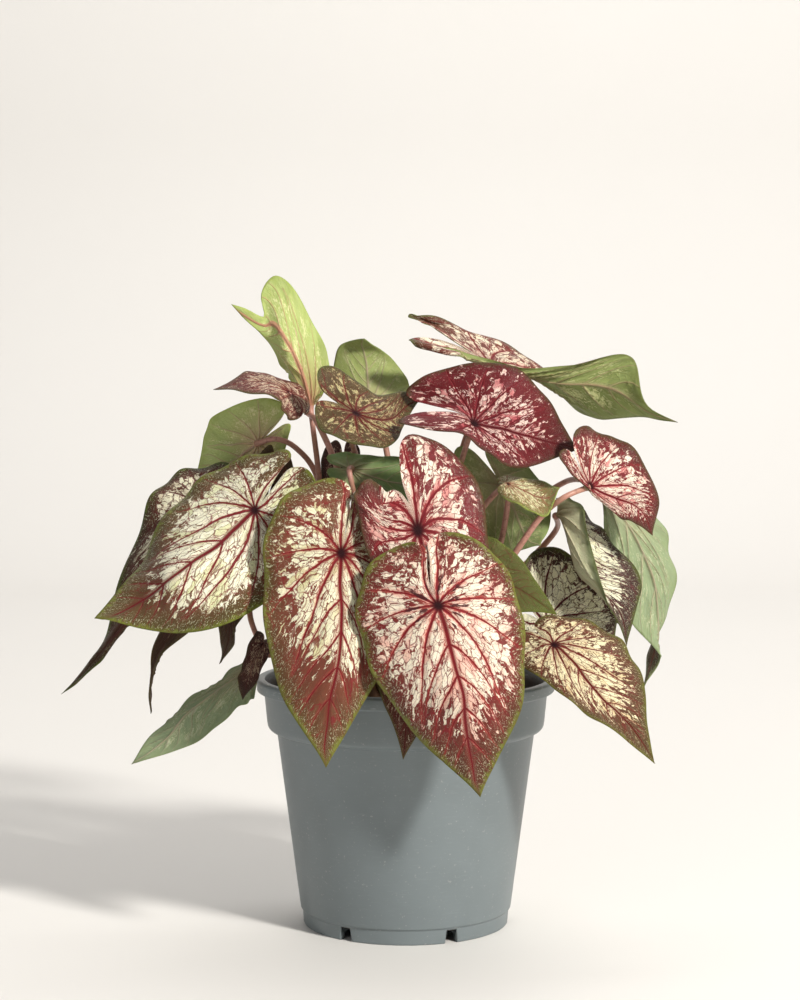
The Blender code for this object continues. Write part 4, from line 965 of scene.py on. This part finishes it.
def upper_face():
    """The upper face's group: ground from margin to middle, patches in a net, halo and veins, hub."""
    colours = ["Inner", "Outer", "Edge", "Light", "Blush", "Vein", "Halo"]
    numbers = ["Cover", "Bare", "Tip", "Net", "Glow", "Fleck", "Dash", "Seed"]
    group, w, given, taken = new_group("upper_face", colours, numbers, ["Color", "Roughness", "Height"])
    u, v, place, rim = wire_blade_places(w, given["Seed"])
    reach = w.times(wire_veins(w, u, v), w.step(w.noise(place, 30.0, 3.0), 0.3, 0.7, 0.7, 1.5))
    radius = w.length(w.node("UVMap", uv_map="blade"))
    cell = w.node("TexVoronoi", 1, _0=place, Scale=CELL_SCALE)
    any_1, any_2 = w.node("SeparateColor", 0, _0=cell), w.node("SeparateColor", 1, _0=cell)
    net = w.cracks(place, CELL_SCALE)
    small_net = w.cracks(place, 66.0)
    branch = w.cracks(place, 8.5)
    blot = w.noise(place, 32.0, 7.0, 0.66)
    fine = w.noise(place, 110.0, 4.0, 0.68)
    grit = w.noise(place, 240.0, 3.0, 0.6)
    cloud = w.noise(place, 9.0, 2.0)
    ragged = w.times_plus(w.plus(blot, cloud), 0.09, rim)
    zone = w.step(ragged, w.plus(given["Bare"], 0.08), w.plus(given["Bare"], 0.18))
    middle = w.times(zone, w.step(w.times_plus(blot, 0.2, u), 0.60, 0.95, 1.0, 0.25))
    colour = w.mix(middle, given["Outer"], given["Inner"])
    colour = w.mix(w.step(grit, 0.42, 0.60, 0.0, 0.5), colour, given["Outer"])
    warm = w.times(w.step(fine, 0.56, 0.72), w.times(middle, 0.3))
    colour = w.mix(warm, colour, given["Halo"])
    # Patches: a cell's own chance and broken noise against how far patches reach here.
    value = w.times_plus(any_1, 0.22, w.times(blot, 1.15))
    tip = w.times(w.step(u, 0.35, 0.85), given["Tip"])
    inland = w.times(zone, w.step(rim, 0.06, 0.24, 0.76, 1.16))
    wanted = w.less(w.times(given["Cover"], inland), tip)
    patch = w.step(w.plus(value, w.less(wanted, 1.0)), -0.012, 0.012)
    lines = w.times(w.step(net, 0.015, 0.055), w.step(small_net, 0.0, 0.06, 0.45, 1.0))
    lines = w.less(1.0, w.times(w.less(1.0, lines), given["Net"]))
    lines = w.times(lines, w.step(grit, 0.68, 0.60, 0.5, 1.0))
    patch = w.times(patch, lines)
    rosy = w.step(w.times_plus(any_2, 0.3, cloud), 0.62, 0.90)
    pale = w.mix(rosy, given["Light"], given["Blush"])
    # Halo and veins lie over the patches, and short dark dashes round the hub over both.
    glow = w.times(w.step(reach, 6.5, 0.8), given["Glow"])
    glow = w.times(glow, w.step(fine, 0.35, 0.6, 0.5, 1.0))
    colour = w.mix(w.times(glow, w.times_plus(middle, 0.5, 0.3)), colour, given["Halo"])
    pale = w.mix(w.times(glow, 0.7), pale, given["Halo"])
    patch = w.times(patch, w.step(reach, 1.1, 2.0))
    colour = w.mix(patch, colour, pale)
    fleck_value = w.noise(place, 120.0, 3.0, 0.6)
    fleck = w.times(w.step(fleck_value, 0.57, 0.61), w.step(rim, 0.006, 0.014))
    fleck = w.times(w.times(fleck, w.step(ragged, 0.24, 0.12)), given["Fleck"])
    colour = w.mix(fleck, colour, w.mix(0.5, given["Light"], given["Edge"]))
    branches = w.times(w.step(branch, 0.030, 0.010), w.step(fine, 0.35, 0.55, 0.25, 0.85))
    colour = w.mix(w.times(branches, w.times_plus(zone, 0.6, 0.4)), colour, given["Vein"])
    vein = w.times(w.step(reach, 1.35, 0.55), w.step(rim, 0.008, 0.05, 0.2, 1.0))
    colour = w.mix(vein, colour, given["Vein"])
    rind = w.plus(rim, w.times(w.less(w.plus(fine, blot), 1.0), 0.11))
    colour = w.mix(w.step(rind, 0.030, 0.000, 0.0, 0.85), colour, given["Edge"])
    dash = w.times(w.step(w.noise(place, 13.0, 3.0, 0.6), 0.555, 0.57), w.step(radius, 0.055, 0.065))
    dash = w.times(w.times(dash, w.step(radius, 0.17, 0.15)), given["Dash"])
    colour = w.mix(dash, colour, (0.07, 0.012, 0.014))
    colour = w.mix(w.step(radius, 0.055, 0.012, 0.0, 0.95), colour, (0.022, 0.006, 0.008))
    rough = w.times_plus(patch, 0.06, w.times_plus(fine, 0.20, 0.36))
    height = w.times_plus(lines, 0.5, w.times(fine, 0.4))
    height = w.plus(height, w.step(reach, 0.3, 2.2, 0.0, 0.8))
    for socket, value in (("Color", colour), ("Roughness", rough), ("Height", height)):
        w.tree.links.new(value, taken[socket])
    return group


def under_face():
    """The under face's group: matt green with pale ghosts of the patches, a fine net, faint veins and a
    midrib as thick as asked."""
    colours, numbers = ["Under", "Ghost", "Rib", "Edge"], ["Cover", "Thick", "Seed"]
    group, w, given, taken = new_group("under_face", colours, numbers, ["Color", "Roughness", "Height"])
    u, v, place, rim = wire_blade_places(w, given["Seed"])
    reach = wire_veins(w, u, v)
    radius = w.length(w.node("UVMap", uv_map="blade"))
    net = w.cracks(place, 30.0)
    fine = w.noise(place, 60.0, 5.0, 0.66)
    cloud = w.noise(place, 11.0, 2.0)
    colour = w.mix(w.step(cloud, 0.35, 0.65, 0.0, 0.5), given["Under"], given["Edge"])
    value = w.times_plus(cloud, 0.5, w.times(fine, 0.75))
    ghost = w.times(w.step(w.plus(value, given["Cover"]), 0.98, 1.08), w.step(rim, 0.03, 0.10))
    colour = w.mix(w.times(ghost, 0.75), colour, given["Ghost"])
    colour = w.mix(w.step(net, 0.06, 0.0, 0.0, 0.35), colour, given["Under"])
    colour = w.mix(w.step(radius, 0.40, 0.02, 0.0, 0.55), colour, given["Rib"])
    colour = w.mix(w.step(reach, 5.0, 1.0, 0.0, 0.20), colour, given["Rib"])
    colour = w.mix(w.step(reach, 1.5, 0.6, 0.0, 0.55), colour, given["Rib"])
    wide = w.times(given["Thick"], w.times_plus(u, -0.011, 0.013))
    past = w.less(wide, w.math("ABSOLUTE", v))
    ahead = w.step(u, -0.01, 0.01)
    colour = w.mix(w.times(w.step(past, -0.004, 0.004, 0.0, 0.85), ahead), colour, given["Rib"])
    colour = w.mix(w.step(rim, 0.018, 0.006, 0.0, 0.6), colour, given["Edge"])
    rough = w.times_plus(fine, 0.15, 0.48)
    height = w.plus(w.step(reach, 2.5, 0.4), w.times(w.step(net, 0.10, 0.0), 0.35))
    for socket, value in (("Color", colour), ("Roughness", rough), ("Height", height)):
        w.tree.links.new(value, taken[socket])
    return group


FACES = {"upper": upper_face(), "under": under_face()}


def blade_finish(name, face, look, seed):
    """One face's material: the face's group set to this leaf's colours, on one shader."""
    material, w, shader = new_finish(f"leaf_{name}_{face}", specular=0.22 if face == "upper" else 0.18)
    shader.inputs["Subsurface Weight"].default_value = 0.10
    shader.inputs["Subsurface Scale"].default_value = 0.0012
    shader.inputs["Subsurface Radius"].default_value = (1.0, 0.6, 0.3)
    group = w.tree.nodes.new("ShaderNodeGroup")
    group.node_tree = FACES[face]
    for socket in group.inputs:
        value = seed if socket.name == "Seed" else look[socket.name.lower()]
        socket.default_value = (*value, 1.0) if socket.type == "RGBA" else value
    wire_finish(w, shader, *group.outputs[:3], distance=0.0005, strength=0.7)
    return material


def make_blade(name, leaf, seed):
    """One blade: rings of the flat outline scaled about the hub, bent through the sightings, waved at the
    margin, puckered between veins and sunk along them, then doubled into two faces and a rim."""
    look = LOOKS[leaf["look"]] | leaf.get("own", {})
    bend = bending(leaf)
    ends = bend(np.array([PLACES["hub"], PLACES["tip"]]))
    length = np.linalg.norm(ends[1] - ends[0])
    around, rings = next(size[1:] for size in GRID_SIZES if length > size[0])
    edge = flat_edge(around)
    share = (np.arange(1, rings + 1) / rings)[:, None, None]
    flat = np.vstack([[[0.0, 0.0]], (edge[None] * share).reshape(-1, 2)])
    draw = np.random.default_rng(seed)
    rim = margin_gap(flat, edge)
    across = bend(flat + [0.0, NORMAL_STEP]) - bend(flat - [0.0, NORMAL_STEP])
    along = bend(flat + [NORMAL_STEP, 0.0]) - bend(flat - [NORMAL_STEP, 0.0])
    normal = np.cross(along, across)
    normal /= np.linalg.norm(normal, axis=1, keepdims=True) + 1e-12
    warp = np.stack([
        0.020 * lumps(*flat.T, 6.0, 12, seed + k) + 0.006 * lumps(*flat.T, 22.0, 12, seed + k + 1)
        for k in (50, 90)
    ], axis=-1)
    marked = flat + warp * np.clip(np.hypot(*flat.T) / 0.2, 0.0, 1.0)[:, None]
    gap, widths = vein_gap(*marked.T)
    pucker = PUCKER * (1.0 - np.exp(-(gap / 0.035) ** 2)) * np.clip(rim / 0.08, 0.0, 1.0)
    pucker = pucker * (1.0 + 0.5 * lumps(*flat.T, 45.0, 16, seed))
    groove = GROOVE * np.exp(-(widths / 1.6) ** 2) + HUB_DEPTH * np.exp(-(np.hypot(*flat.T) / 0.035) ** 2)
    angle = np.arctan2(flat[:, 1], flat[:, 0])
    wave = np.sin(angle * WAVES_ROUND + draw.uniform(0, 6.3)) + 0.6 * lumps(*flat.T, 16.0, 12, seed + 7)
    wave = RUFFLE * wave * np.exp(-rim / 0.07) * np.clip(np.hypot(*flat.T) / 0.3, 0, 1)
    middle = bend(flat) + normal * (length * (pucker - groove + wave))[:, None]
    thick = BLADE_THICKNESS / 2 * (0.35 + 0.65 * np.clip(rim / 0.02, 0.0, 1.0))
    upper = middle + normal * thick[:, None]
    under = middle - normal * (thick + length * VEIN_RIDGE * np.exp(-(widths / 1.4) ** 2))[:, None]
    j = np.arange(around)
    k = (j + 1) % around
    quads = 1 + ring_walls(rings, around)[:, [0, 3, 2, 1]]
    fan = np.stack([0 * j, 1 + j, 1 + k], axis=-1)
    last = 1 + (rings - 1) * around
    count = len(flat)
    rim_quads = np.stack([last + j, count + last + j, count + last + k, last + k], axis=-1)
    faces = (quads.tolist() + fan.tolist() + rim_quads.tolist()
             + (quads[:, ::-1] + count).tolist() + (fan[:, ::-1] + count).tolist())
    shade = [0] * (len(quads) + around + around) + [1] * (len(quads) + around)
    finishes = [blade_finish(name, face, look, seed) for face in ("upper", "under")]
    piece = add_piece("blade_" + name, np.vstack([upper, under]), faces, finishes, shade)
    corners = np.zeros(len(piece.data.loops), np.int32)
    piece.data.loops.foreach_get("vertex_index", corners)
    for layer, values in (("blade", marked), ("fan", fan_place(*marked.T))):
        spread = np.vstack([values, values])[corners]
        piece.data.uv_layers.new(name=layer).data.foreach_set("uv", spread.astype(np.float32).ravel())
    gaps = np.r_[rim, rim].astype(np.float32)
    piece.data.attributes.new("rim", "FLOAT", "POINT").data.foreach_set("value", gaps)
    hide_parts("leaf_" + name)
    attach(piece, "root")
    return bend


BENDS = {name: make_blade(name, leaf, seed) for seed, (name, leaf) in enumerate(LEAVES.items())}

# STALKS
# Each blade hangs from a smooth round stalk, pinkish brown and fleshy, thicker at the crown where it
# wraps its neighbours. It meets the blade's underside at the hub, where the veins begin.
STALK_RADIUS = 0.0013
STALK_SHARES = (1.45, 0.80)
STALK_STEPS = (60, 14)
LEAVING_SHARE = 0.35
ARRIVING_SHARE = 0.22


def stalk_finish():
    """Fleshy skin: pink brown with darker specks, darker and greener towards the crown."""
    material, w, shader = new_finish("stalk_skin", specular=0.45)
    place = w.here()
    run = w.node("Attribute", 2, attribute_name="run")
    speck = w.noise(place, 700.0, 4.0, 0.65)
    cloud = w.noise(place, 90.0, 2.0)
    colour = w.mix(w.step(cloud, 0.35, 0.65), (0.47, 0.23, 0.18), (0.36, 0.18, 0.12))
    colour = w.mix(w.step(run, 0.30, 0.0, 0.0, 0.75), colour, (0.22, 0.15, 0.07))
    colour = w.mix(w.step(speck, 0.52, 0.66, 0.0, 0.5), colour, (0.15, 0.06, 0.045))
    wire_finish(w, shader, colour, w.step(speck, 0.2, 0.8, 0.36, 0.5), speck, distance=0.00012, strength=0.5)
    return material


def free_route(foot, top, normal):
    """A Bezier curve that leaves the crown upwards and comes to the blade from below its hub."""
    length = np.linalg.norm(top - foot)
    above = foot + np.array([0.0, 0.0, LEAVING_SHARE * length])
    under = top - normal * ARRIVING_SHARE * length
    t = np.linspace(0.0, 1.0, 9)[:, None]
    s = 1.0 - t
    return foot * s ** 3 + 3 * above * t * s ** 2 + 3 * under * t ** 2 * s + top * t ** 3


def tube(line, radius, steps):
    """Rings of steps points about a line, with the first direction carried along without twist and the
    ends closed by a point: centre + radius * (side * cos + over * sin)."""
    ahead = np.gradient(line, axis=0)
    ahead /= np.linalg.norm(ahead, axis=1, keepdims=True)
    side = np.zeros_like(line)
    side[0] = np.cross(ahead[0], [0.0, 1.0, 0.01])
    for i in range(1, len(line)):
        side[i] = side[i - 1] - ahead[i] * (side[i - 1] @ ahead[i])
    side /= np.linalg.norm(side, axis=1, keepdims=True)
    over = np.cross(ahead, side)
    turn = np.linspace(0.0, 2.0 * math.pi, steps, endpoint=False)
    ring = side[:, None] * np.cos(turn)[None, :, None] + over[:, None] * np.sin(turn)[None, :, None]
    points = np.vstack([(line[:, None] + ring * radius[:, None, None]).reshape(-1, 3), line[:1], line[-1:]])
    j = np.arange(steps)
    k = (j + 1) % steps
    end = (len(line) - 1) * steps
    caps = np.vstack([np.stack([k, j, 0 * j + len(points) - 2], axis=-1),
                      np.stack([end + j, end + k, 0 * j + len(points) - 1], axis=-1)])
    return points, ring_walls(len(line), steps).tolist() + caps.tolist()


def make_stalk(name, leaf, bend, finish):
    """A round tube from the crown, by its sightings, up to the blade's hub, widening where they join."""
    at = bend(np.array([[0.0, 0.0], [0.02, 0.0], [0.0, 0.02], [1.0, 0.0]]))
    normal = np.cross(at[1] - at[0], at[2] - at[0])
    normal /= np.linalg.norm(normal)
    radius, degrees = leaf["base"]
    radius, angle = radius / 1000.0, math.radians(degrees)
    foot = np.array([radius * math.sin(angle), -radius * math.cos(angle), crown_z(radius) - 0.0008])
    top = at[0] - normal * (0.0008 + HUB_DEPTH * np.linalg.norm(at[3] - at[0]))
    if "stalk" in leaf:
        route = np.vstack([foot, sighted(leaf["stalk"]), top])
    else:
        route = free_route(foot, top, normal)
    rings, steps = STALK_STEPS
    line = even_steps(smooth_line(route, 400), rings)
    t = np.linspace(0.0, 1.0, rings)
    wide = STALK_SHARES[0] + (STALK_SHARES[1] - STALK_SHARES[0]) * t ** 0.7
    wide = STALK_RADIUS * (wide + 0.8 * np.exp(-t / 0.04) + 0.35 * np.exp((t - 1.0) / 0.012))
    points, faces = tube(line, wide, steps)
    piece = add_piece("stem_" + name, points, faces, [finish])
    run = np.r_[np.repeat(t, steps), 0.0, 1.0].astype(np.float32)
    piece.data.attributes.new("run", "FLOAT", "POINT").data.foreach_set("value", run)
    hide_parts("stalk_" + name)
    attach(piece, "root")


stalk_skin = stalk_finish()
for name, leaf in LEAVES.items():
    make_stalk(name, leaf, BENDS[name], stalk_skin)

# STAGE
# A plain pale table that curves up into a backdrop, under a small soft lamp at the front right, a large
# weak one on the left, one on the backdrop and a pale sky. None of it is part of the plant.
FLOOR_COLOUR = (0.755, 0.74, 0.715)
SWEEP_Y, SWEEP_RADIUS, SWEEP_HEIGHT = 1.30, 0.50, 2.4
STAGE_WIDTH = 6.0


def make_stage():
    """A strip whose section is a flat, a quarter circle and a wall, drawn across the whole width."""
    turn = np.linspace(0.0, math.pi / 2, 24)
    y = np.r_[-2.4, 0.0, SWEEP_Y + SWEEP_RADIUS * np.sin(turn), SWEEP_Y + SWEEP_RADIUS]
    z = np.r_[0.0, 0.0, SWEEP_RADIUS * (1 - np.cos(turn)), SWEEP_HEIGHT]
    x = np.array([-STAGE_WIDTH / 2, STAGE_WIDTH / 2])[:, None]
    points = np.stack([x + 0 * y, 0 * x + y, 0 * x + z], axis=-1).reshape(-1, 3)
    j = np.arange(len(y) - 1)
    faces = np.stack([j, j + len(y), j + len(y) + 1, j + 1], axis=-1).tolist()
    material, w, shader = new_finish("table_paint", specular=0.25)
    cloud = w.noise(w.here(), 3.0, 2.0)
    colour = w.mix(cloud, FLOOR_COLOUR, tuple(0.98 * c for c in FLOOR_COLOUR))
    wire_finish(w, shader, colour, w.step(cloud, 0.0, 1.0, 0.6, 0.7))
    add_piece("table_sweep", points, faces, [material])


def add_lamp(name, place, aim, size, watts, colour):
    """A square soft lamp at a place, turned to face its aim."""
    lamp = bpy.data.lights.new(name, "AREA")
    lamp.size, lamp.energy, lamp.color = size, watts, colour
    item = bpy.data.objects.new(name, lamp)
    item.location = place
    x, y, z = np.array(aim) - np.array(place)
    item.rotation_euler = (math.atan2(math.hypot(x, y), -z), 0.0, math.atan2(x, -y) + math.pi)
    bpy.context.scene.collection.objects.link(item)


make_stage()
add_lamp("lamp_key", (1.15, -1.30, 1.20), (0.0, 0.0, 0.12), 0.22, 54.0, (1.0, 0.965, 0.91))
add_lamp("lamp_fill", (-0.9, -1.5, 0.8), (0.0, 0.0, 0.12), 1.2, 4.0, (0.95, 0.97, 1.0))
add_lamp("lamp_back", (0.2, 0.9, 2.0), (0.0, 1.9, 0.4), 1.6, 24.0, (1.0, 0.98, 0.96))
sky = bpy.data.worlds.new("sky")
sky.use_nodes = True
sky.node_tree.nodes["Background"].inputs["Color"].default_value = (1.0, 0.985, 0.965, 1.0)
sky.node_tree.nodes["Background"].inputs["Strength"].default_value = 0.27
bpy.context.scene.world = sky
bpy.context.scene.view_settings.view_transform = "Standard"
